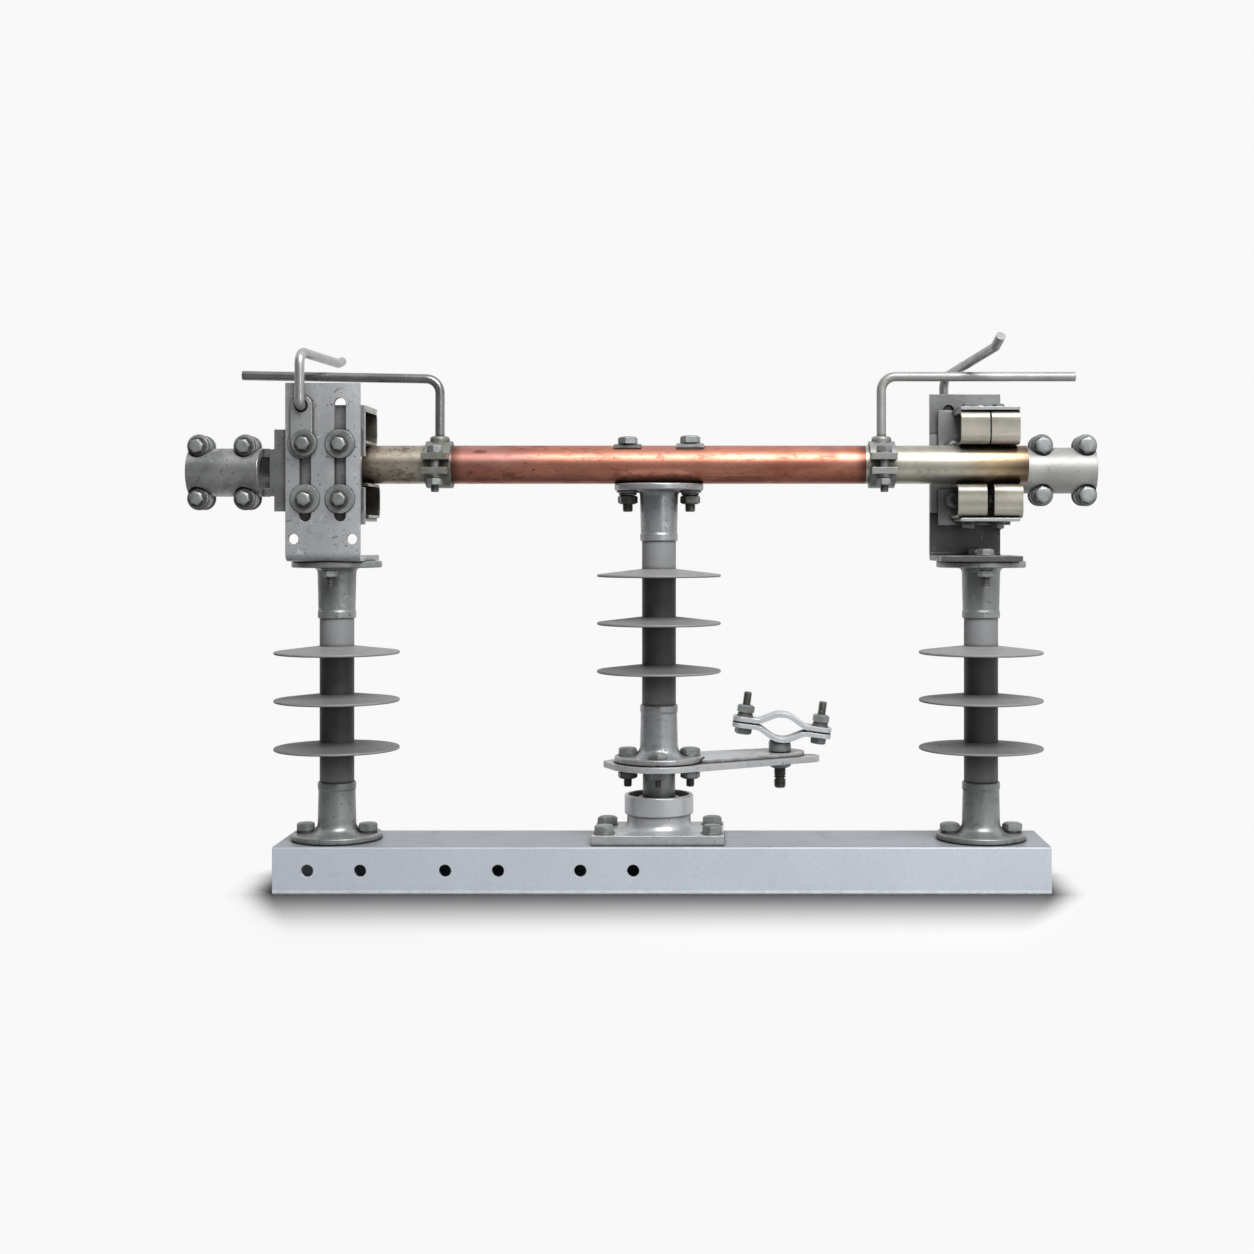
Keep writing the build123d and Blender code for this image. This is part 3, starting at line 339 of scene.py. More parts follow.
# %% [markdown]
# ## Bolts of the posts
#
# The outer posts stand on two bolts each, left and right of the post, with their nuts hidden inside the
# channel. Their upper flanges carry the contact brackets on two smaller bolts, at the front and the back, so
# the heads lie on the bracket's foot and the nuts hang under the flange.

# %% Bolts at the flanges of the outer posts
beam_wall = 4 * MM
bracket_thickness = 5 * MM
base_grip, top_grip = flange_thickness + beam_wall, flange_thickness + bracket_thickness
base_rings, top_rings = ([SPLIT_10], [FLAT_10, SPLIT_10]), ([FLAT_8], [FLAT_8])
for side in SIDES:
    x = column_x[side]
    base_face = lowest(f"{side}_base_fitting") + flange_thickness
    foot_face = lowest(f"{side}_contact_bracket") + bracket_thickness
    base_bolts, top_bolts = [], []
    for step in (-bolt_reach, bolt_reach):
        base_bolts.append(bolt("M10", (x + step, 0, base_face), UP, base_grip, *base_rings))
        top_bolts.append(bolt("M8", (x, step, foot_face), UP, top_grip, *top_rings, tail=8, head=4.6))
    bolt_pieces(f"{side}_base_bolts", base_bolts, "frame")
    bolt_pieces(f"{side}_top_bolts", top_bolts, "frame")

# %% [markdown]
# ## Bolts that turn with the blade
#
# The middle post clamps the lever between its lower flange and the nuts. Their bolts come from another box
# than the rest: thin ones with large heads, and the front one is thinner still. On top, two long bolts go
# right through the copper tube, and saddle washers, bent to the tube, sit under their heads.

# %% Lever bolts
lever_bottom = lowest("lever_plate")
centre_face = lowest("centre_base_fitting") + flange_thickness
lever_grip = centre_face - lever_bottom
lever_rings = [("flat", 8.6, 0.9)], [("flat", 9.0, 1.2), SPLIT_8]
lever_sizes = {"tail": 7.5, "flats": 16, "head": 6.2, "nut_flats": 16, "nut": 6.6}
front_sizes = {"tail": 7, "flats": 14.6, "head": 5.4, "nut_flats": 12, "nut": 6.4}
at_left, at_right, at_back = (
    bolt("M8", (x, y, centre_face), UP, lever_grip, *lever_rings, **lever_sizes)
    for x, y in ((-bolt_reach, 0), (bolt_reach, 0), (0, bolt_reach))
)
in_front = bolt("M6", (0, -bolt_reach, centre_face), UP, lever_grip, (), [("flat", 7.2, 1.0)], **front_sizes)
bolt_pieces("left_lever_bolts", [at_left, at_back], "rotor", "dark_bolts")
bolt_pieces("right_lever_bolts", [at_right, in_front], "rotor")

# %% Blade bolts and their saddle washers
tube_top, tube_axis = highest("blade_tube"), centre("blade_tube")
tube_radius = tube_top - tube_axis
saddle_width, saddle_length = 21 * MM, 25 * MM


def saddle_washer(x, thickness):
    """Plate bent over the tube: point = axis + (radius + lift) (sin angle, cos angle), along X."""
    half_angle = math.asin(saddle_width / 2 / tube_radius)
    angle = np.linspace(-half_angle, half_angle, 13)
    out = np.stack([0 * angle, np.sin(angle), np.cos(angle)], axis=-1)
    along = np.tile([1.0, 0.0, 0.0], (len(angle), 1))
    end, low, high = saddle_length / 2, thickness * 0.2, thickness * 0.8
    flat = end - saddle_length / 5
    section = np.array([
        (-flat, 0), (flat, 0), (end, low), (end, high),
        (flat, thickness), (-flat, thickness), (-end, high), (-end, low),
    ])
    return swept(np.array([x, 0, tube_axis]) + out * tube_radius, along, out, section[::-1])


top_flange_bottom = highest("centre_top_fitting") - flange_thickness
for side, lift, finish in (("left", 1.6 * MM, "dark_bolts"), ("right", 2.6 * MM, "bolts")):
    x, seat = OUT[side] * bolt_reach, tube_top + lift
    piece(f"{side}_saddle_washer", [saddle_washer(x, lift)], "rotor", finish)
    blade_bolt = bolt("M10", (x, 0, seat), UP, seat - top_flange_bottom, (), [FLAT_10, SPLIT_10], tail=7)
    bolt_pieces(f"{side}_blade_bolt", [blade_bolt], "rotor", "dark_bolts")

# %% Bolts of the bearing plate
bearing_spread = (48.5 * MM, 25 * MM)
bearing_rings = [("flat", 9.6, 1.2)], [FLAT_10, SPLIT_10]
bearing_thickness = 9 * MM
bearing_face = lowest("bearing_base") + bearing_thickness
bearing_bolts = [
    bolt("M10", (x, y, bearing_face), UP, bearing_thickness + beam_wall, *bearing_rings)
    for x in (-bearing_spread[0], bearing_spread[0])
    for y in (-bearing_spread[1], bearing_spread[1])
]
bolt_pieces("bearing_bolts", bearing_bolts, "frame")

# %% [markdown]
# ## The pipe clamp and its pivot
#
# The operating pipe is gripped by two bent straps. They swivel on a stud, whose round boss sits on the
# lever and whose threaded end hangs below it, with a groove for a split pin. The frame holds these as
# smooth stand-ins, which the threaded pieces replace. The clamp leans, so its bolts take their direction
# from the angle between the two heads.

# %% Pivot stud with its boss, nut and grooved end
clamp_tilt = math.radians(7.5)
pivot = np.array([centre("pivot_stud", 0), centre("pivot_stud", 1)])
stud_bottom, bar_top = lowest("pivot_stud"), highest("lever_bar")
boss_height = 10.0 * MM
boss_radii = np.array([[8.6], [10.0], [10.4], [10.4], [10.0], [9.0]]) * MM
boss_shares = np.array([[0], [0.05], [0.16], [0.84], [0.95], [1.0]])
sloping_top = boss_height - math.tan(clamp_tilt) * boss_radii * np.cos(angles(RING_COLUMNS))
boss = round_shape(boss_radii, 0.4 * MM + boss_shares * (sloping_top - 0.5 * MM), RING_COLUMNS)

stud_radius, stud_pitch = 5.8 * MM, 1.75 * MM
nut_height = 5.4 * MM
nut_top = lever_bottom - 0.3 * MM
groove_z, groove_half = stud_bottom + 8.6 * MM, 1.5 * MM
groove_radii = np.array([[5.7], [5.7], [4.4], [4.4], [5.7], [5.7]]) * MM
groove_heights = groove_z + np.array([[-1.6], [-1.2], [-0.7], [0.7], [1.2], [1.6]]) * MM
end_top = groove_z - groove_half
stud_shapes = [
    placed(rod(stud_radius * 0.98, bar_top + 2 * MM - nut_top), (*pivot, nut_top)),
    placed(thread(stud_radius, stud_pitch, nut_top - groove_z - groove_half), (*pivot, nut_top), DOWN),
    placed(round_shape(groove_radii, groove_heights), (*pivot, 0)),
    placed(thread(stud_radius, stud_pitch, end_top - stud_bottom), (*pivot, end_top), DOWN),
]
stud_nut = placed(hexagon(18 * MM, nut_height, both_ends=True), (*pivot, nut_top - nut_height), spin=0.3)
pivot_piece = piece("swivel_stud", stud_shapes, "rod_clamp", "dark_bolts")
piece("swivel_boss", [placed(boss, (*pivot, bar_top)), stud_nut], "rod_clamp", "bolts")
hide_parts("pivot_stud")

# %% Two clamp bolts with dark spring washers
strap_thickness, strap_gap = 4.2 * MM, 1.6 * MM
clamp_spacing = 71 * MM
eye_rise = 9.6 * MM + strap_thickness
lean = np.array([math.sin(clamp_tilt), 0, math.cos(clamp_tilt)])
along_clamp = np.array([math.cos(clamp_tilt), 0, -math.sin(clamp_tilt)])
clamp_centre = np.array([*pivot, bar_top + boss_height]) + lean * eye_rise
clamp_grip = strap_gap + 2 * strap_thickness
clamp_rings = [("flat", 7.6, 0.9)], [("flat", 8.0, 1.1), ("split", 7.2, 2.2)]
clamp_sizes = {"tail": 12.3, "flats": 14, "nut_flats": 14, "nut": 7.8}
clamp_bolts = []
for end in (-1, 1):
    head_seat = clamp_centre + along_clamp * end * clamp_spacing / 2 - lean * clamp_grip / 2
    clamp_bolts.append(bolt("M8", head_seat, -lean, clamp_grip, *clamp_rings, **clamp_sizes))
clamp_piece = bolt_pieces("pipe_clamp_bolts", clamp_bolts, "rod_clamp")[0]
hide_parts("clamp_bolts")

# %% [markdown]
# ## The contact jaws
#
# Each jaw grips the blade between sprung shoes. Two upright bolts tie the arms together and guide the
# shoes, and a compression spring round each bolt presses a shoe against the tube. The coils show through
# the open ends of the shoes, so they are real helices and not sleeves.

# %% Jaw bolts, nuts and springs
jaw_bolt_reach, jaw_bolt_spacing = 24 * MM, 28 * MM
jaw_nut_room = 4.5 * MM
shoe_strip = 2.5 * MM
spring_radius, spring_wire, spring_turns = 5.1 * MM, 0.75 * MM, 6.0
for side in SIDES:
    jaw_x, jaw_y = centre(f"{side}_upper_shoes", 0), OUT[side] * jaw_bolt_reach
    top = highest(f"{side}_jaw_bolts") - jaw_nut_room
    bottom = lowest(f"{side}_jaw_bolts") + jaw_nut_room
    bolts, coils = [], []
    for x in (jaw_x - jaw_bolt_spacing / 2, jaw_x + jaw_bolt_spacing / 2):
        bolts.append(bolt("M6", (x, jaw_y, top), UP, top - bottom, [FLAT_6], [FLAT_6], tail=1.2))
        for shoes in (f"{side}_upper_shoes", f"{side}_lower_shoes"):
            ends = lowest(shoes) + shoe_strip, highest(shoes) - shoe_strip
            coils.append(placed(coil(spring_radius, spring_wire, *ends, spring_turns), (x, jaw_y, 0)))
    jaw_piece = bolt_pieces(f"{side}_jaw_fasteners", bolts, "frame")[0]
    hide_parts(f"{side}_jaw_bolts")
    spring_piece = piece(f"{side}_coil_springs", coils, "frame", "springs")
    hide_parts(f"{side}_jaw_springs")

# %% [markdown]
# ## Bolts in the bracket's slots
#
# Four M8 bolts with wide washers hold the terminal's tongue and the two jaw arms to each bracket, through
# two long slots. One of them also holds the little strap that carries the arcing horn, with a wide washer
# round the strap's end.

# %% Slot bolts and horn straps
slot_spacing, slot_stack = 31 * MM, 13 * MM
bracket_face = 46 * MM
strap_plate, strap_end = 4 * MM, 9.5 * MM
tongue_end = 11 * MM
slot_sizes = {"tail": 2.5, "flats": 11, "head": 5}
for side in SIDES:
    outward = (0, OUT[side], 0)
    plate_x = centre(f"{side}_contact_bracket", 0)
    upper = lowest(f"{side}_horn_strap") + strap_end
    lower = lowest(f"{side}_terminal_tongue") + tongue_end
    slot_bolts = []
    for height in (upper, lower):
        for step in (-1, 1):
            over_strap = height == upper and step == -1
            lift, width = (strap_plate, 11.0) if over_strap else (0.0, 12.8)
            place = (plate_x + step * slot_spacing / 2, OUT[side] * (bracket_face + lift), height)
            rings = [("flat", width, 1.6), WIDE_SPLIT_8], [FLAT_8]
            slot_bolts.append(bolt("M8", place, outward, slot_stack + lift, *rings, **slot_sizes))
    bolt_pieces(f"{side}_slot_bolts", slot_bolts, "frame")
    strap_place = (centre(f"{side}_horn_strap", 0), OUT[side] * bracket_face, upper)
    ring = placed(washer(strap_end - 1 * MM, 12.6 * MM, 1.4 * MM), strap_place, outward)
    piece(f"{side}_strap_washer", [ring], "frame", "bolts")

# %% [markdown]
# ## Terminal and collar bolts
#
# The line conductor is squeezed between two cast halves by four bolts, each with two thick washers and a
# spring washer. The ones on the right have wide, flat heads. The split collars on the blade close with one M8
# bolt each, which stands upright through their lugs.

# %% Terminal clamps
ear_spacing = (41 * MM, 46 * MM)
ear_edge, ear_thickness = 9 * MM, 6.5 * MM
parting, parting_plane = 0.3 * MM, 41.3 * MM
half_grip = ear_thickness + parting
ear_rings = [("flat", 10.6, 3.4), ("flat", 9.2, 3.0), ("split", 7.8, 2.2)], [FLAT_10, SPLIT_8]
ear_sizes = {
    "left": {"tail": 6, "crown": 0.25, "flats": 11, "head": 5.4},
    "right": {"tail": 6, "crown": 0.12, "flats": 14, "head": 4.4},
}
for side in SIDES:
    saddle = f"{side}_terminal_saddle"
    outer_end = lowest(saddle, 0) if side == "left" else highest(saddle, 0)
    ear_x = outer_end - OUT[side] * ear_edge
    front_y = OUT[side] * parting_plane - half_grip
    ear_bolts = [
        bolt("M8", (x, front_y, centre(saddle) + step), FRONT, 2 * half_grip, *ear_rings, **ear_sizes[side])
        for x in (ear_x, ear_x - OUT[side] * ear_spacing[0])
        for step in (-ear_spacing[1] / 2, ear_spacing[1] / 2)
    ]
    bolt_pieces(f"{side}_terminal_bolts", ear_bolts, "frame")

# %% Collar bolts
lug_reach, lug_half = 15 * MM, 9.5 * MM
lug_rings = [("flat", 7, 1.4)], [("flat", 7, 1.4), SPLIT_8]
for side in SIDES:
    collar = f"{side}_horn_collar"
    place = (centre(collar, 0), lowest(collar, 1) + lug_reach / 2, tube_axis + lug_half)
    bolt_pieces(f"{side}_collar_bolt", [bolt("M8", place, UP, 2 * lug_half, *lug_rings, tail=6)], "rotor")

# %% [markdown]
# ## Finishes as node groups
#
# Galvanised steel, cast fittings, plated copper and rubber all need the same few effects: cloudy tone,
# fine grain, small pits, grime and painted shade in the corners, a painted shade line along seams, and
# bright edges that are partly rubbed wear and partly a painted highlight. Each effect is a node group with
# named sockets, so a material reads like a recipe. Three small classes write the trees: the first adds
# nodes to any tree, and the others make a group and a material whose tone is laid on in coats.

# %% Helpers for any node tree


class Tree:
    """A node tree. What feeds an input is an output of another node or a plain value."""

    def __init__(self, tree, coordinates=None):
        self.tree = tree
        if coordinates:
            self.vector = self.node("TexCoord").outputs[coordinates]

    def feed(self, socket, value):
        """Link an output to the socket, or set its value, with a colour's alpha at one."""
        if isinstance(value, bpy.types.NodeSocket):
            self.tree.links.new(value, socket)
        elif value is not None:
            socket.default_value = (*value, 1) if socket.type == "RGBA" else value

    def fill(self, built, *values, **named):
        """Feed a node's inputs, in their order or by name, where underscores stand for spaces."""
        for socket, value in zip(built.inputs, values):
            self.feed(socket, value)
        for name, value in named.items():
            self.feed(built.inputs[name.replace("_", " ")], value)
        return built

    def node(self, kind, *values, **named):
        """New node with its inputs filled; a name in small letters is one of the node's own settings."""
        built = self.tree.nodes.new(f"ShaderNode{kind}")
        for setting in [name for name in named if name.islower()]:
            setattr(built, setting, named.pop(setting))
        return self.fill(built, *values, **named)

    def maths(self, operation, *values):
        """Result of one operation on numbers."""
        return self.node("Math", *values, operation=operation).outputs[0]

    def times(self, first, second):
        """First times second."""
        return self.maths("MULTIPLY", first, second)

    def less(self, first, second):
        """First less second."""
        return self.maths("SUBTRACT", first, second)

    def dot(self, first, second):
        """Dot product of two vectors."""
        return self.node("VectorMath", first, second, operation="DOT_PRODUCT").outputs["Value"]

    def mix(self, factor, first, second, mode="MIX"):
        """Two colours mixed by a factor."""
        built = self.node("Mix", factor, data_type="RGBA", blend_type=mode)
        colours = [socket for socket in built.inputs if socket.type == "RGBA"]
        for socket, value in zip(colours, (first, second)):
            self.feed(socket, value)
        return next(socket for socket in built.outputs if socket.type == "RGBA")

    def ramp(self, value, low, high, to_low=0.0, to_high=1.0, smooth=True):
        """Map a value from the span low to high on to another span, clamped."""
        kind = "SMOOTHSTEP" if smooth else "LINEAR"
        built = self.node("MapRange", value, low, high, to_low, to_high, interpolation_type=kind)
        return built.outputs["Result"]

    def noise(self, scale, detail=3.0, roughness=0.5, distortion=0.0, vector=None):
        """Noise value from 0 to 1; scale is in waves per metre."""
        where = self.vector if vector is None else vector
        pattern = {"Scale": scale, "Detail": detail, "Roughness": roughness, "Distortion": distortion}
        return self.node("TexNoise", Vector=where, **pattern).outputs["Fac"]

    def drawn(self, stretch, *pattern):
        """Noise whose waves per metre differ along each axis, for marks that run one way."""
        return self.noise(1.0, *pattern, vector=self.stretched(stretch))

    def stretched(self, scale, offset=(0, 0, 0)):
        """Coordinates scaled along each axis and moved."""
        return self.node("Mapping", Vector=self.vector, Scale=scale, Location=offset).outputs["Vector"]

    def axis(self, name, vector=None):
        """One coordinate of the place, or of another vector."""
        return self.node("SeparateXYZ", self.vector if vector is None else vector).outputs[name]

    def effect(self, group, **values):
        """Outputs of a group placed in this tree, on the tree's coordinates unless others are given."""
        return self.node("Group", node_tree=group, **{"Vector": self.vector, **values}).outputs


# %% A group and a material
class Effect(Tree):
    """Shader group that takes coordinates and numbers, each with a usual value, and gives masks."""

    def __init__(self, name, numbers, results):
        super().__init__(bpy.data.node_groups.new(name, "ShaderNodeTree"))
        self.socket("Vector", "INPUT", "Vector")
        for label, usual in numbers.items():
            self.socket(label, "INPUT", "Float").default_value = usual
        for label in results:
            self.socket(label, "OUTPUT", "Vector" if label == "Normal" else "Float")
        self.given = self.tree.nodes.new("NodeGroupInput").outputs
        self.result = self.tree.nodes.new("NodeGroupOutput")
        self.vector = self.given["Vector"]

    def socket(self, label, side, kind):
        """Named socket of the group."""
        return self.tree.interface.new_socket(name=label, in_out=side, socket_type=f"NodeSocket{kind}")

    def give(self, **results):
        """The group, once its results are linked."""
        self.fill(self.result, **results)
        return self.tree


class Finish(Tree):
    """Material on Object coordinates, with a Principled shader and a tone that is laid on in coats."""

    def __init__(self, name):
        self.material = bpy.data.materials.new(name)
        self.material.use_nodes = True
        super().__init__(self.material.node_tree, "Object")
        self.shader = self.tree.nodes["Principled BSDF"]

    def upward(self):
        """Height of the surface's normal: one on a face that looks up."""
        return self.axis("Z", self.node("NewGeometry").outputs["Normal"])

    def over(self, mask, amount, colour):
        """Lay a colour over the tone where the mask is, at most by the amount."""
        share = self.node("Math", mask, amount, operation="MULTIPLY", use_clamp=True).outputs[0]
        self.tone = self.mix(share, self.tone, colour)

    def shaded(self, factor):
        """Multiply the tone."""
        self.tone = self.mix(1.0, self.tone, factor, "MULTIPLY")

    def done(self, rough, metallic, height, depth, normal=None):
        """The material with its tone, and with a bump whose depth is in millimetres."""
        bump = self.node("Bump", Distance=depth * MM, Height=height, Normal=normal).outputs["Normal"]
        self.fill(self.shader, Base_Color=self.tone, Roughness=rough, Metallic=metallic, Normal=bump)
        return self.material


# %% [markdown]
# ## Five effects
#
# Zinc weathers in clouds, with a finer crystal pattern inside them. Ambient occlusion darkens the corners,
# once over a centimetre, as grime mixed with painted shade, and once over a few millimetres, as a painted
# shade line along each seam. Edges are laid bright where the bevel node's normal leaves the surface's own,
# as rubbed wear and as a painted highlight. Pits are the cells of a warped Voronoi pattern, and scratches
# are the thin lines where a noise passes through one half.

# %% Clouds, pits and scratches


def build_clouds():
    """Tone that drifts over centimetres, patches in it, and grain of a millimetre or so."""
    tree = Effect("weathered_clouds", {"Scale": 30.0, "Grain Scale": 900.0}, ("Clouds", "Patches", "Grain"))
    scale = tree.given["Scale"]
    broad = tree.ramp(tree.noise(scale, 3.0, 0.55, 0.5), 0.28, 0.72)
    patches = tree.ramp(tree.noise(tree.times(scale, 3.7), 5.0, 0.7, 1.2), 0.50, 0.66)
    return tree.give(Clouds=broad, Patches=patches, Grain=tree.noise(tree.given["Grain Scale"], 2.0, 0.6))


def build_pits():
    """Small dark marks: cells of a pattern warped by noise, thinned out by a broader noise."""
    tree = Effect("small_pits", {"Scale": 210.0, "Amount": 0.5}, ["Pits"])
    scale, reach = tree.given["Scale"], (0.0035,) * 3
    warp = tree.node("TexNoise", Vector=tree.vector, Scale=420.0).outputs["Color"]
    bent = tree.node("VectorMath", warp, reach, tree.vector, operation="MULTIPLY_ADD").outputs[0]
    cells = tree.node("TexVoronoi", Vector=bent, Scale=scale).outputs["Distance"]
    near = tree.ramp(cells, 0.12, 0.24, 1.0, 0.0)
    limit = tree.less(0.78, tree.times(tree.given["Amount"], 0.36))
    kept = tree.ramp(tree.less(tree.noise(tree.times(scale, 0.31), 2.0), limit), 0.0, 0.06)
    return tree.give(Pits=tree.times(near, kept))


def build_scratches():
    """Hair-fine lines: where a slow noise passes through one half, kept in places by a second noise."""
    tree = Effect("fine_scratches", {"Scale": 42.0, "Width": 0.010}, ["Scratches"])
    scale = tree.given["Scale"]
    away = tree.maths("ABSOLUTE", tree.less(tree.noise(scale, 2.0, 0.6, 0.8), 0.5))
    line = tree.ramp(away, 0.0, tree.given["Width"], 1.0, 0.0)
    kept = tree.ramp(tree.noise(tree.times(scale, 2.3), 1.0), 0.54, 0.62)
    return tree.give(Scratches=tree.times(line, kept))


# %% Edges and corners
SAMPLES = 6


def build_edges():
    """Mask of the edges: one minus the dot of the surface's normal and a bevelled one, broken by noise."""
    # The finishes lay these edges bright, as rubbed wear and as a painted highlight.
    tree = Effect("rubbed_edges", {"Radius": 0.0008}, ("Edges", "Normal"))
    bevelled = tree.node("Bevel", samples=SAMPLES, Radius=tree.given["Radius"]).outputs["Normal"]
    turned = tree.less(1.0, tree.dot(bevelled, tree.node("NewGeometry").outputs["Normal"]))
    broken = tree.ramp(tree.noise(240.0, 3.0, 0.7), 0.3, 0.6)
    return tree.give(Edges=tree.ramp(tree.times(turned, broken), 0.012, 0.09), Normal=bevelled)


def build_corners():
    """Masks from ambient occlusion: grime and painted shade in the corners, broken by noise, and a painted
    shade line along a seam.
    """
    tree = Effect("corner_dirt", {"Distance": 0.012, "Seam Distance": 0.003}, ("Dirt", "Seams"))
    masks = []
    for reach in (tree.given["Distance"], tree.given["Seam Distance"]):
        open_share = tree.node("AmbientOcclusion", samples=SAMPLES, Distance=reach).outputs["AO"]
        masks.append(tree.less(1.0, open_share))
    dirt = tree.times(masks[0], tree.ramp(tree.noise(120.0, 4.0, 0.65), 0.25, 0.7, 0.55, 1.2))
    return tree.give(Dirt=tree.ramp(dirt, 0.16, 0.66), Seams=tree.ramp(masks[1], 0.08, 0.42))


CLOUDS, PITS, SCRATCHES, EDGES, CORNERS = (
    build() for build in (build_clouds, build_pits, build_scratches, build_edges, build_corners)
)
print("effect groups:", [group.name for group in bpy.data.node_groups])

# %% [markdown]
# ## Zinc, in one recipe
#
# Nearly everything here is hot-dip galvanised: the channel, the castings, the brackets and the bolts. They
# differ in tone, in how blotchy they are and in how rough they are, so one function takes those values.
# Dull zinc is only half a metal to the eye, because its oxide scatters light, so Metallic stays below one.

# %% The zinc recipe
# Near-black colours for pits, grime and scratches, which also colour the painted shade in the corners and
# along the seams.
SOOT_AND_SHADE, GRIME_AND_SHADE = (0.035, 0.033, 0.030), (0.075, 0.068, 0.058)


def zinc(
    name, light, dark, scale=30.0, rough=(0.38, 0.55), metallic=0.5, patch=0.3, dirt=0.6, pits=0.4,
    scratches=0.4, edge=0.5, seam_shade=0.9, stain_and_shade=GRIME_AND_SHADE, worn=None, grain_depth=0.03, bevel=0.0008, shade=None,
    top_shade_share=1.0,
):
    """Galvanised finish: clouds, patches, pits, scratches, grime and painted shade in corners, bright edges.

    shade names an axis and two places on it between which the tone falls to a share, a painted light or
    shade: (axis, from, to, share). Faces that look up keep top_shade_share of the tone, a painted shade.
    Rubbed edges are bright, as wear and as a painted highlight, or have the colour worn. stain_and_shade
    colours the grime, pits and dark scratches and the painted shade in the corners, and seam_shade sets
    the painted shade line along the seams.
    """
    look = Finish(name)
    clouds, marks = look.effect(CLOUDS, Scale=scale), look.effect(PITS, Amount=pits)
    dark_lines = look.effect(SCRATCHES)
    bright_lines = look.effect(SCRATCHES, Vector=look.stretched((1, 1, 1), (0.31, 0.17, 0.23)), Width=0.008)
    edges, corners = look.effect(EDGES, Radius=bevel), look.effect(CORNERS)
    bright = [min(1.0, value * 1.5 + 0.06) for value in light]
    look.tone = look.mix(clouds["Clouds"], dark, light)
    look.over(clouds["Patches"], patch, [value * 0.6 for value in dark])
    look.shaded(look.ramp(clouds["Grain"], 0.3, 0.7, 0.95, 1.04))
    # Painted light or shade: the tone changes along one axis.
    if shade:
        axis, start, stop, share = shade
        look.shaded(look.ramp(look.axis(axis), start, stop, 1.0, share))
    # Painted shade: faces that look up are darker.
    if top_shade_share < 1:
        look.shaded(look.ramp(look.upward(), 0.5, 0.95, 1.0, top_shade_share))
    look.over(bright_lines["Scratches"], scratches, bright)
    # Edges laid bright or worn: rubbed wear, and where bright, also a painted highlight.
    look.over(edges["Edges"], edge, worn or bright)
    # Grime and painted shade in the corners.
    look.over(corners["Dirt"], dirt, stain_and_shade)
    look.over(dark_lines["Scratches"], scratches, stain_and_shade)
    look.over(marks["Pits"], 0.85, stain_and_shade)
    # A painted shade line along the seams.
    look.over(corners["Seams"], seam_shade, SOOT_AND_SHADE)
    dull = look.ramp(clouds["Patches"], 0.0, 1.0, *rough, smooth=False)
    dull = look.maths("ADD", dull, look.times(corners["Dirt"], 0.2))
    dull = look.less(dull, look.ramp(edges["Edges"], 0, 1, 0, 0.1))
    height = look.less(clouds["Grain"], look.times(marks["Pits"], 2.0))
    return look.done(dull, metallic, height, grain_depth, edges["Normal"])


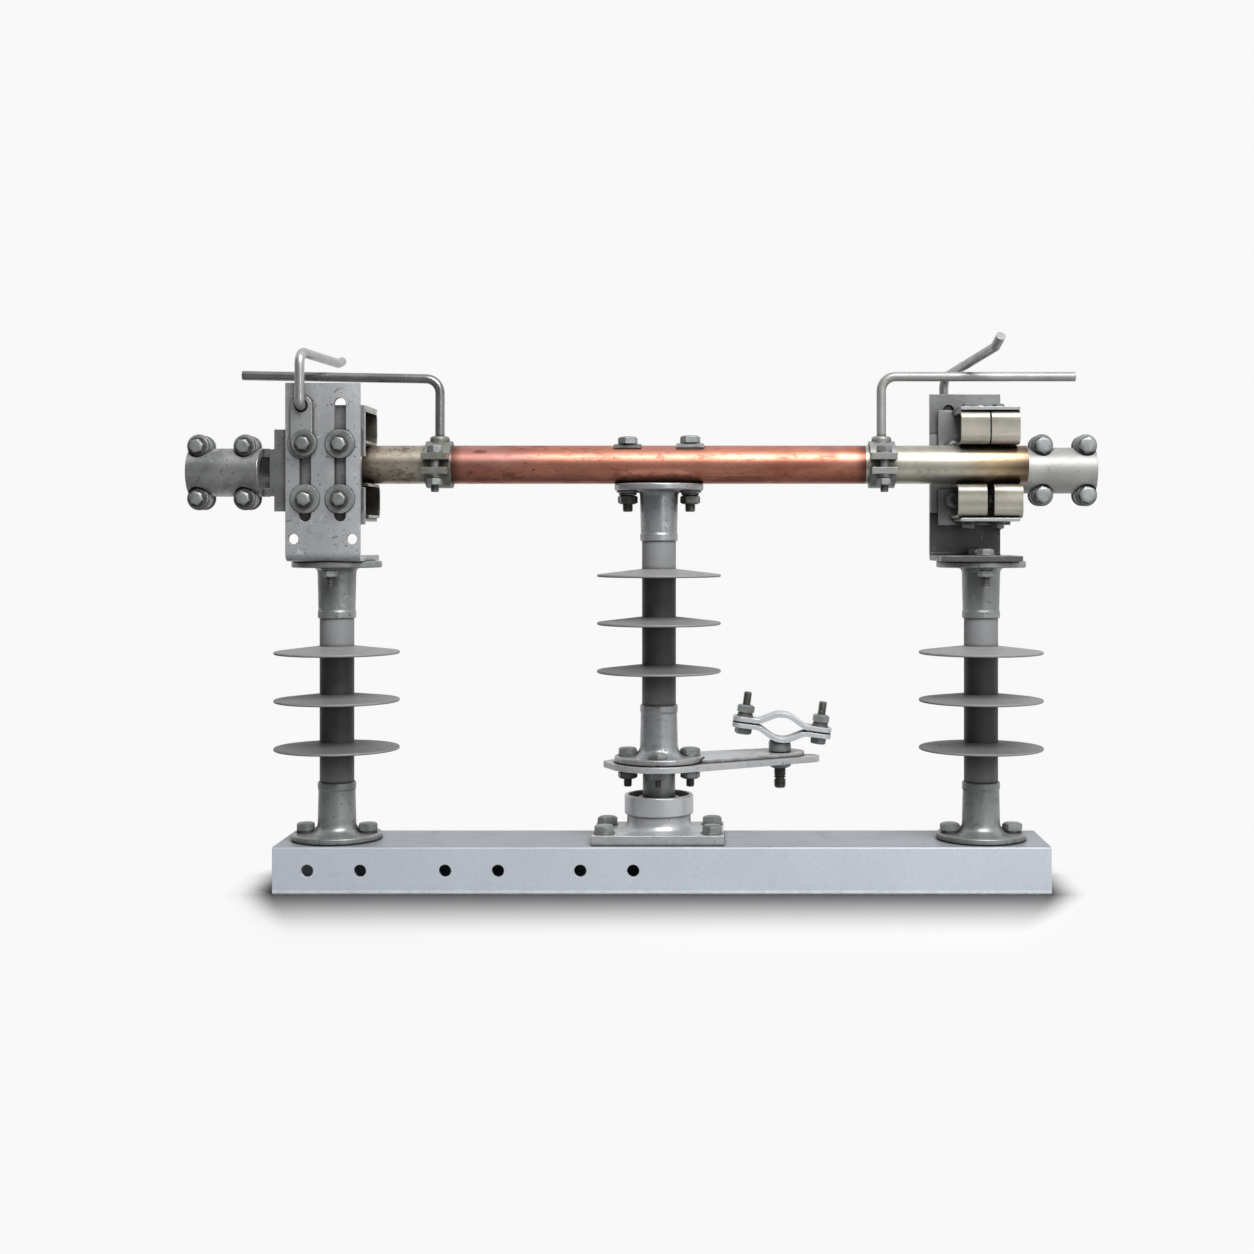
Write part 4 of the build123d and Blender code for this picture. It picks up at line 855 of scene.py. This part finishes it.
# %% Zinc on the frame's slots and on the hardware
finishes = {
    # The channel's top is darker, a painted shade, and its lowest few millimetres lighter, a painted
    # highlight line.
    "beam_steel": zinc(
        "beam_zinc", (0.60, 0.64, 0.70), (0.555, 0.595, 0.655), scale=6.0, patch=0.05, pits=0.05, dirt=0.35,
        rough=(0.40, 0.48), metallic=0.12, grain_depth=0.006, scratches=0.1, edge=0.6, top_shade_share=0.5,
        shade=("Z", 5 * MM, 1 * MM, 1.6),
    ),
    "bearing_casting": zinc(
        "bearing_zinc", (0.50, 0.51, 0.52), (0.43, 0.44, 0.45), patch=0.25, scratches=0.3, rough=(0.36, 0.46),
        dirt=0.95, grain_depth=0.015, stain_and_shade=(0.10, 0.075, 0.05),
    ),
    "galvanised_steel": zinc("plate_zinc", (0.40, 0.41, 0.41), (0.31, 0.32, 0.32), scale=24.0),
    "galvanised_casting": zinc(
        "post_zinc", (0.32, 0.33, 0.33), (0.22, 0.23, 0.23), scale=22.0, pits=0.9, rough=(0.36, 0.5),
        dirt=0.85,
    ),
    # The plate lightens towards its right end, a painted light.
    "bracket_steel": zinc(
        "bracket_zinc", (0.40, 0.41, 0.42), (0.32, 0.33, 0.34), scale=14.0, patch=0.35, pits=0.85,
        scratches=0.8, metallic=0.25, edge=0.6, worn=(0.12, 0.12, 0.12),
        shade=("X", centre("left_contact_bracket", 0), highest("left_contact_bracket", 0), 1.35),
    ),
    "clamp_steel": zinc(
        "strap_zinc", (0.60, 0.62, 0.64), (0.50, 0.52, 0.54), scale=20.0, patch=0.15, pits=0.2, metallic=0.3,
    ),
    "horn_rod": zinc(
        "horn_zinc", (0.42, 0.43, 0.42), (0.33, 0.34, 0.33), scale=26.0, patch=0.15, pits=0.15, scratches=0.2,
        rough=(0.28, 0.38), metallic=0.6, grain_depth=0.01,
    ),
    "dark_steel": zinc("shaft_zinc", (0.30, 0.31, 0.31), (0.22, 0.23, 0.23), scale=26.0, metallic=0.45),
    "collar_casting": zinc(
        "collar_zinc", (0.23, 0.23, 0.20), (0.16, 0.16, 0.14), patch=0.2, metallic=0.35, grain_depth=0.05,
    ),
    "terminal_casting": zinc(
        "terminal_alloy", (0.38, 0.385, 0.39), (0.20, 0.205, 0.205), scale=22.0, pits=1.0, rough=(0.28, 0.4),
        metallic=0.6, edge=0.8, patch=0.5,
    ),
    "bolts": zinc(
        "bolt_zinc", (0.33, 0.345, 0.345), (0.19, 0.20, 0.20), scale=60.0, pits=0.1, bevel=0.0004,
        rough=(0.42, 0.52), metallic=0.45, scratches=0.0, edge=0.35, grain_depth=0.01, dirt=0.35, seam_shade=0.4,
    ),
    "dark_bolts": zinc(
        "dark_bolt_steel", (0.17, 0.17, 0.155), (0.08, 0.075, 0.065), scale=60.0, bevel=0.0004, scratches=0.1,
        dirt=0.4, seam_shade=0.6,
    ),
    "springs": zinc("spring_wire", (0.30, 0.29, 0.27), (0.14, 0.13, 0.12), scale=90.0, bevel=0.0003),
}
print("zinc finishes:", sorted(finishes))

# %% [markdown]
# ## Pieces with a history of their own
#
# Two castings from one mould rarely look alike after years outside. The middle post's fittings are cleaner
# than those of the outer posts, the right bracket darkens under the jaws with grime and painted shade, and
# the right clamp is newer. The bearing's ring is laid lighter than its base, a painted light. A node that
# is named here takes its own finish instead of the one that its slot gives.

# %% Finishes of single nodes
# Heights over which the right bracket darkens, with grime and the painted shade of the jaws in front of it.
bracket_low, bracket_high = lowest("right_contact_bracket"), highest("right_contact_bracket")
grime_shade_from, grime_shade_to = (bracket_low + share * (bracket_high - bracket_low) for share in (0.75, 0.45))
pale_zinc = zinc(
    "lever_zinc", (0.52, 0.53, 0.54), (0.40, 0.41, 0.42), scale=18.0, patch=0.35, dirt=0.9, metallic=0.35,
)
centre_zinc = zinc(
    "clean_post_zinc", (0.42, 0.43, 0.44), (0.28, 0.29, 0.30), scale=20.0, pits=1.0, rough=(0.34, 0.44),
    metallic=0.55, dirt=0.9,
)
new_alloy = zinc(
    "clean_terminal_alloy", (0.38, 0.38, 0.37), (0.30, 0.30, 0.29), scale=20.0, patch=0.12, pits=0.2,
    rough=(0.42, 0.52), metallic=0.3,
)
own_finish = {
    # The ring is laid lighter than the bearing's base, a painted light standing in for its highlight.
    "bearing_ring": zinc(
        "lit_ring_zinc", (0.55, 0.56, 0.57), (0.50, 0.51, 0.52), scale=12.0, patch=0.05, pits=0.1,
        scratches=0.1, rough=(0.28, 0.34), grain_depth=0.006,
    ),
    "lever_plate": pale_zinc, "lever_bar": pale_zinc,
    "centre_base_fitting": centre_zinc, "centre_top_fitting": centre_zinc,
    "right_terminal_saddle": new_alloy, "right_terminal_tongue": new_alloy,
    # Darker below the jaws: grime and painted shade.
    "right_contact_bracket": zinc(
        "grimy_shaded_bracket_zinc", (0.28, 0.285, 0.285), (0.20, 0.205, 0.205), scale=14.0, patch=0.25,
        scratches=0.5, metallic=0.25, shade=("Z", grime_shade_from, grime_shade_to, 0.35),
    ),
    "left_moving_horn": zinc(
        "dark_horn_zinc", (0.25, 0.25, 0.25), (0.18, 0.18, 0.18), patch=0.15, pits=0.1, scratches=0.1,
        rough=(0.26, 0.36), metallic=0.7, grain_depth=0.006,
    ),
    "right_moving_horn": zinc(
        "light_horn_zinc", (0.36, 0.36, 0.35), (0.28, 0.28, 0.27), scale=26.0, patch=0.15, pits=0.1,
        scratches=0.1, rough=(0.42, 0.5), metallic=0.4, grain_depth=0.006,
    ),
    "right_horn_collar": zinc(
        "light_collar_zinc", (0.31, 0.315, 0.305), (0.23, 0.235, 0.225), patch=0.2, metallic=0.35,
    ),
}
print("nodes with a finish of their own:", sorted(own_finish))

# %% [markdown]
# ## Grey polymer
#
# The posts are silicone rubber on a glass-fibre rod. Rubber has no metal gloss. Faces that look up take a
# tone that darkens from the highest shed downwards, a painted shade of the sheds above, and faces that look
# down are darkened, a painted shade too. The trunk just below each shed is darkened, a painted shadow of the
# shed.

# %% The polymer finish


def polymer(housing):
    """Matt grey rubber: painted shadow below the sheds, painted shade on faces that look down, and a painted
    shade on the shed tops that is lightest on the highest one.
    """
    look = Finish(f"{housing}_silicone")
    clouds = look.effect(CLOUDS, Scale=18.0, Grain_Scale=700.0)
    marks = look.effect(PITS, Scale=110.0, Amount=0.3)
    corners, below = look.effect(CORNERS), look.effect(CORNERS, Seam_Distance=0.044)
    upward = look.upward()
    height = look.ramp(look.axis("Z"), lowest(housing), highest(housing), smooth=False)
    look.tone = look.mix(clouds["Clouds"], (0.25, 0.252, 0.257), (0.30, 0.303, 0.308))
    # Grime and painted shade in the corners.
    look.over(corners["Dirt"], 0.5, (0.03, 0.03, 0.03))
    # Painted shadow on the trunk just below each shed.
    look.over(below["Seams"], 0.95, (0.024, 0.024, 0.024))
    # The top of the housing, under its fitting, is laid back to a plain grey.
    look.over(look.ramp(height, 0.8, 0.86), 0.9, (0.26, 0.265, 0.27))
    # Faces that look up take a tone that darkens towards the lowest shed, a painted shade of the sheds above.
    shed_top_shade = look.mix(look.ramp(height, 0.2, 0.75), (0.13, 0.13, 0.127), (0.27, 0.27, 0.27))
    look.tone = look.mix(look.times(look.ramp(upward, 0.2, 0.9), 0.85), look.tone, shed_top_shade)
    # Faces that look down are darkened, a painted shade.
    look.over(look.ramp(upward, -0.3, -0.9), 0.7, (0.06, 0.06, 0.06))
    look.over(clouds["Patches"], 0.12, (0.10, 0.10, 0.095))
    look.over(marks["Pits"], 0.7, SOOT_AND_SHADE)
    # A painted shade line along the seams.
    look.over(corners["Seams"], 0.6, SOOT_AND_SHADE)
    look.fill(look.shader, Specular_IOR_Level=0.35)
    return look.done(look.ramp(clouds["Patches"], 0, 1, 0.5, 0.6), 0.0, clouds["Grain"], 0.015)


own_finish.update({name: polymer(name) for name in ("left_housing", "centre_housing", "right_housing")})

# %% [markdown]
# ## Bare copper
#
# The middle of the tube is bare. Years of weather leave it salmon pink with brown freckles, a violet bloom
# and long drawn scratches, and near the joints it is almost chocolate. All of it follows the tube's
# length, so the patterns are stretched along X.

# %% The copper finish


def copper():
    """Weathered copper: pink base, brown flakes and freckles, violet bloom, scratches along the tube."""
    look = Finish("bare_copper")
    half = highest("blade_tube", 0)
    clouds = look.effect(CLOUDS, Vector=look.stretched((0.4, 1, 1)), Scale=40.0)
    flakes = look.effect(PITS, Vector=look.stretched((0.35, 1, 1)), Scale=60.0, Amount=1.3)
    freckles = look.effect(PITS, Vector=look.stretched((0.5, 1, 1)), Scale=240.0, Amount=0.8)
    corners = look.effect(CORNERS, Distance=0.015)
    long_marks = look.drawn((6, 180, 180), 4.0, 0.6, 0.4)
    bloom, browned = look.drawn((9, 30, 30), 2.0), look.ramp(look.drawn((14, 40, 40), 3.0), 0.5, 0.66)
    along = look.axis("X")
    left_share = look.ramp(along, -half, 0.0, 1.0, 0.35)
    look.tone = look.mix(clouds["Clouds"], (0.36, 0.125, 0.08), (0.58, 0.25, 0.175))
    look.over(clouds["Patches"], 0.55, (0.22, 0.075, 0.05))
    look.over(look.ramp(long_marks, 0.55, 0.72), 0.4, (0.74, 0.44, 0.34))
    look.over(look.ramp(bloom, 0.5, 0.75), 0.35, (0.38, 0.25, 0.26))
    look.over(look.times(browned, left_share), 0.42, (0.22, 0.085, 0.055))
    look.over(look.times(flakes["Pits"], left_share), 0.85, (0.17, 0.055, 0.035))
    look.over(look.times(freckles["Pits"], left_share), 0.9, (0.045, 0.018, 0.012))
    # Grime and painted shade in the corners.
    look.over(corners["Dirt"], 0.6, (0.08, 0.035, 0.025))
    look.over(look.ramp(look.maths("ABSOLUTE", along), half - 0.012, half - 0.001), 0.85, (0.12, 0.05, 0.035))
    return look.done(look.ramp(clouds["Patches"], 0, 1, 0.38, 0.5), 0.9, long_marks, 0.03)


finishes["copper"] = copper()

# %% [markdown]
# ## Plated ends and shoes
#
# Where the jaws touch, the copper is plated. On the left the plating has weathered to a brown grey. On
# the right it is still silver, turns brassy where the shoes have rubbed it and goes copper-brown at the
# tip. A gradient along X carries the change, and noise keeps its border ragged.

# %% Plated blade ends


def plated_end(side, stops, rough, metallic, wear, grain_depth):
    """Plating along the tube: colours at shares of its length, from the copper to the tip."""
    look = Finish(f"{side}_plating")
    clouds = look.effect(CLOUDS, Vector=look.stretched((0.6, 1, 1)), Scale=36.0)
    freckles, lines = look.effect(PITS, Scale=190.0, Amount=0.9 * wear), look.effect(SCRATCHES)
    corners = look.effect(CORNERS, Distance=0.016)
    marks = look.drawn((8, 160, 160), 4.0, 0.6, 0.3)
    near, tip = (OUT[side] * edge("right_blade_end", 0) for edge in (lowest, highest))
    share = look.ramp(look.axis("X"), near, tip, smooth=False)
    scale = look.node("ValToRGB", look.maths("ADD", share, look.times(look.less(marks, 0.5), 0.2)))
    band = scale.color_ramp.elements
    for place, colour in stops[1:-1]:
        band.new(place).color = (*colour, 1)
    for end in (0, -1):
        band[end].position, band[end].color = stops[end][0], (*stops[end][1], 1)
    look.tone = scale.outputs["Color"]
    look.shaded(look.ramp(clouds["Clouds"], 0, 1, 1 - 0.45 * wear, 1 + 0.25 * wear))
    look.over(clouds["Patches"], 0.8 * wear, (0.10, 0.07, 0.045))
    look.over(lines["Scratches"], 0.6 * wear, (0.75, 0.68, 0.58))
    look.over(freckles["Pits"], 0.7, (0.07, 0.05, 0.035))
    # Grime and painted shade in the corners.
    look.over(corners["Dirt"], 0.65, (0.06, 0.045, 0.035))
    return look.done(look.ramp(clouds["Patches"], 0, 1, *rough), metallic, marks, grain_depth)


SILVER, BRASS, BROWN = (0.46, 0.445, 0.375), (0.42, 0.31, 0.19), (0.14, 0.095, 0.065)
PALE, TARNISH, UMBER, RUST = (0.66, 0.65, 0.61), (0.40, 0.37, 0.31), (0.36, 0.31, 0.25), (0.26, 0.185, 0.125)
left_stops = [(0.0, PALE), (0.06, TARNISH), (0.4, UMBER), (1.0, RUST)]
right_stops = [(0.0, SILVER), (0.55, SILVER), (0.78, BRASS), (1.0, BROWN)]
own_finish["left_blade_end"] = plated_end("left", left_stops, (0.3, 0.5), 0.75, 1.0, 0.03)
own_finish["right_blade_end"] = plated_end("right", right_stops, (0.36, 0.44), 0.85, 0.35, 0.004)

# %% Shoes


def shoe_plating():
    """Warm nickel with painted reflection bands, brown grime and painted shade in the corners towards the
    edge that rubs on the blade, and painted shade deep in each shoe's hollow.
    """
    look = Finish("shoe_nickel")
    clouds, freckles = look.effect(CLOUDS, Scale=36.0), look.effect(PITS, Scale=190.0, Amount=0.4)
    edges, corners = look.effect(EDGES), look.effect(CORNERS, Distance=0.014)
    hollow_shade = look.effect(CORNERS, Seam_Distance=0.034)
    look.tone = look.mix(clouds["Clouds"], (0.27, 0.256, 0.218), (0.37, 0.35, 0.30))
    # Soft bands across the shoe, lighter and darker, a painted reflection.
    look.shaded(look.ramp(look.drawn((3, 3, 60), 1.0), 0.35, 0.65, 0.72, 1.3))
    look.over(clouds["Patches"], 0.2, (0.30, 0.25, 0.19))
    look.over(freckles["Pits"], 0.6, (0.12, 0.09, 0.06))
    # Edges laid bright, as rubbed wear and as a painted highlight.
    look.over(edges["Edges"], 0.5, (0.85, 0.83, 0.78))
    # Brown grime and painted shade in the corners, a painted shade line along the seams, and painted shade
    # deep in the hollow.
    look.over(corners["Dirt"], 0.85, (0.085, 0.06, 0.042))
    look.over(corners["Seams"], 0.8, SOOT_AND_SHADE)
    look.over(look.ramp(hollow_shade["Seams"], 0.3, 0.9), 0.92, (0.022, 0.017, 0.012))
    rough = look.ramp(clouds["Patches"], 0, 1, 0.36, 0.44)
    return look.done(rough, 0.6, clouds["Grain"], 0.006, edges["Normal"])


finishes["shoe_plating"] = shoe_plating()

# %% [markdown]
# ## Handing out the finishes
#
# The record names a material slot for every node of the frame. The finishes above go by the same slot
# names, so one loop dresses the frame, and the pieces that were added take theirs by the name they gave.

# %% Dress the frame and the added pieces
finishes.update(bolt_steel=finishes["bolts"], spring_steel=finishes["springs"])
slot_of = {part["node"]: part["material_slot"] for part in frame["record"]["subparts"]}


def dress(built, material):
    """Give every face of an object one material."""
    if not built.material_slots:
        built.data.materials.append(material)
    for material_slot in built.material_slots:
        material_slot.material = material


for name, built in nodes.items():
    dress(built, own_finish[name] if name in own_finish else finishes[slot_of[name]])
for name, (built, finish) in added.items():
    dress(built, finishes[finish])
print("dressed", len(nodes), "nodes and", len(added), "added pieces")

# %% [markdown]
# ## The studio
#
# The switch stands on a white sweep. One large soft lamp stands in front, to the right and high up, so the
# round posts turn dark towards their left edges and each shed shades the trunk below it. A tall strip
# beside it draws the upright highlight on everything round. Round the beam the floor carries a painted
# shadow, and a hand's width out from the beam the floor turns into plain white for the camera, so no horizon
# shows. Metal needs something to reflect: white behind and above, and a darker room on the camera's side.

# %% Floor
FLOOR_HALF = 15.0
PAPER, DARK_ROOM, DARK_FLOOR = (0.945, 0.945, 0.95), (0.09, 0.09, 0.095), (0.34, 0.34, 0.345)
DARK_SIDE = (-0.60, -0.78, -0.18)


def towards_camera(tree, start, stop):
    """How far a direction or a place lies on the dark side, which is in front and a little to the left."""
    return tree.ramp(tree.dot(tree.vector, DARK_SIDE), start, stop)


def beyond_beam(tree):
    """Distance on the floor from the beam: length of (5 end gap, side gap), each at least zero.

    side gap = |y| - half width, and end gap = |x| - half length + 0.4 side gap.
    """
    off = []
    for axis in (0, 1):
        half_size = (highest("base_beam", axis) - lowest("base_beam", axis)) / 2
        from_middle = tree.less(tree.axis("XY"[axis]), centre("base_beam", axis))
        off.append(tree.less(tree.maths("ABSOLUTE", from_middle), half_size))
    side = tree.maths("MAXIMUM", off[1], 0.0)
    end = tree.maths("MAXIMUM", tree.maths("ADD", off[0], tree.times(side, 0.4)), 0.0)
    squares = [tree.maths("POWER", gap, 2.0) for gap in (tree.times(end, 5.0), side)]
    return tree.maths("SQRT", tree.maths("ADD", *squares))


def floor_material():
    """Pale floor that takes the shadow and a painted shadow round the beam, and turns to plain white a little
    way out from the beam.
    """
    look = Finish("white_sweep")
    path = look.node("LightPath").outputs
    gap = beyond_beam(look)
    # Painted shadow: the floor's tone falls towards the beam, to 0.075 at its edge.
    painted_shadow_tone = look.mix(1.0, (0.92, 0.92, 0.93), look.ramp(gap, 0.0, 0.16, 0.075, 1.0, smooth=False), "MULTIPLY")
    tone = look.mix(path["Is Camera Ray"], (0.36, 0.36, 0.36), painted_shadow_tone)
    look.fill(look.shader, Base_Color=tone, Roughness=0.9, Specular_IOR_Level=0.1)
    mirrored = look.mix(towards_camera(look, 0.05, 0.5), PAPER, DARK_FLOOR)
    white = look.node("Emission", look.mix(path["Is Camera Ray"], mirrored, PAPER))
    far_seen = look.times(look.ramp(gap, 0.02, 0.26), path["Is Camera Ray"])
    far_mirrored = look.times(look.ramp(gap, 0.1, 0.5), path["Is Glossy Ray"])
    far = look.maths("MAXIMUM", far_seen, far_mirrored)
    both = look.node("MixShader", far, look.shader.outputs[0], white.outputs[0])
    look.fill(look.tree.nodes["Material Output"], Surface=both.outputs[0])
    return look.material


floor_mesh = bpy.data.meshes.new("floor")
corners = [(x * FLOOR_HALF, y * FLOOR_HALF, 0) for x, y in ((-1, -1), (1, -1), (1, 1), (-1, 1))]
floor_mesh.from_pydata(corners, [], [(0, 1, 2, 3)])
floor = in_scene("floor", floor_mesh)
floor_mesh.materials.append(floor_material())

# %% World
# The camera sees white, light comes as a soft grey, and reflections find a darker room in front.
world = bpy.data.worlds.new("studio")
bpy.context.scene.world = world
world.use_nodes = True
sky = Tree(world.node_tree, "Generated")
path = sky.node("LightPath").outputs
room = sky.mix(towards_camera(sky, 0.30, 0.62), PAPER, DARK_ROOM)
fill = sky.mix(sky.ramp(sky.axis("X"), -0.7, 0.5), (0.05, 0.05, 0.052), (0.22, 0.22, 0.225))
shiny = sky.maths("MAXIMUM", path["Is Glossy Ray"], path["Is Transmission Ray"])
colour = sky.mix(shiny, sky.mix(path["Is Camera Ray"], fill, PAPER), room)
sky.fill(world.node_tree.nodes["Background"], Color=colour)

# %% Lamps


def area_lamp(name, location, target, size, power):
    """Rectangular soft lamp that looks at target."""
    light = bpy.data.lights.new(name, "AREA")
    light.shape = "RECTANGLE"
    light.size, light.size_y = size
    light.energy = power
    lamp = in_scene(name, light)
    lamp.location = location
    away = np.array(location) - np.array(target)
    lamp.rotation_euler = (math.atan2(math.hypot(*away[:2]), away[2]), 0, math.atan2(away[0], -away[1]))


middle = (0, 0, 0.25)
area_lamp("key", (0.50, -1.25, 1.75), middle, (1.5, 1.0), 51)
area_lamp("strip", (0.95, -1.80, 0.75), middle, (0.16, 1.3), 5)

# %% [markdown]
# ## The camera
#
# The photograph was taken from about 1.6 m away, level, and a little to the right of the middle post. A
# level camera keeps the posts upright, and the lens shift puts the horizon where the picture has it.

# %% Place the camera
CAMERA_PLACE = (52.05 * MM, -1598 * MM, 317.3 * MM)
FOCAL_PIXELS = 1750
PICTURE = 1254
VANISHING = (716, 537)
camera_data = bpy.data.cameras.new("camera")
camera_data.sensor_width = 36
camera_data.lens = FOCAL_PIXELS / PICTURE * camera_data.sensor_width
camera_data.shift_x = (PICTURE / 2 - VANISHING[0]) / PICTURE
camera_data.shift_y = (VANISHING[1] - PICTURE / 2) / PICTURE
camera_data.clip_start = 0.05
camera = in_scene("camera", camera_data)
camera.location = CAMERA_PLACE
camera.rotation_euler = (math.radians(90), 0, 0)
bpy.context.scene.camera = camera
bpy.context.scene.view_settings.view_transform = "Standard"
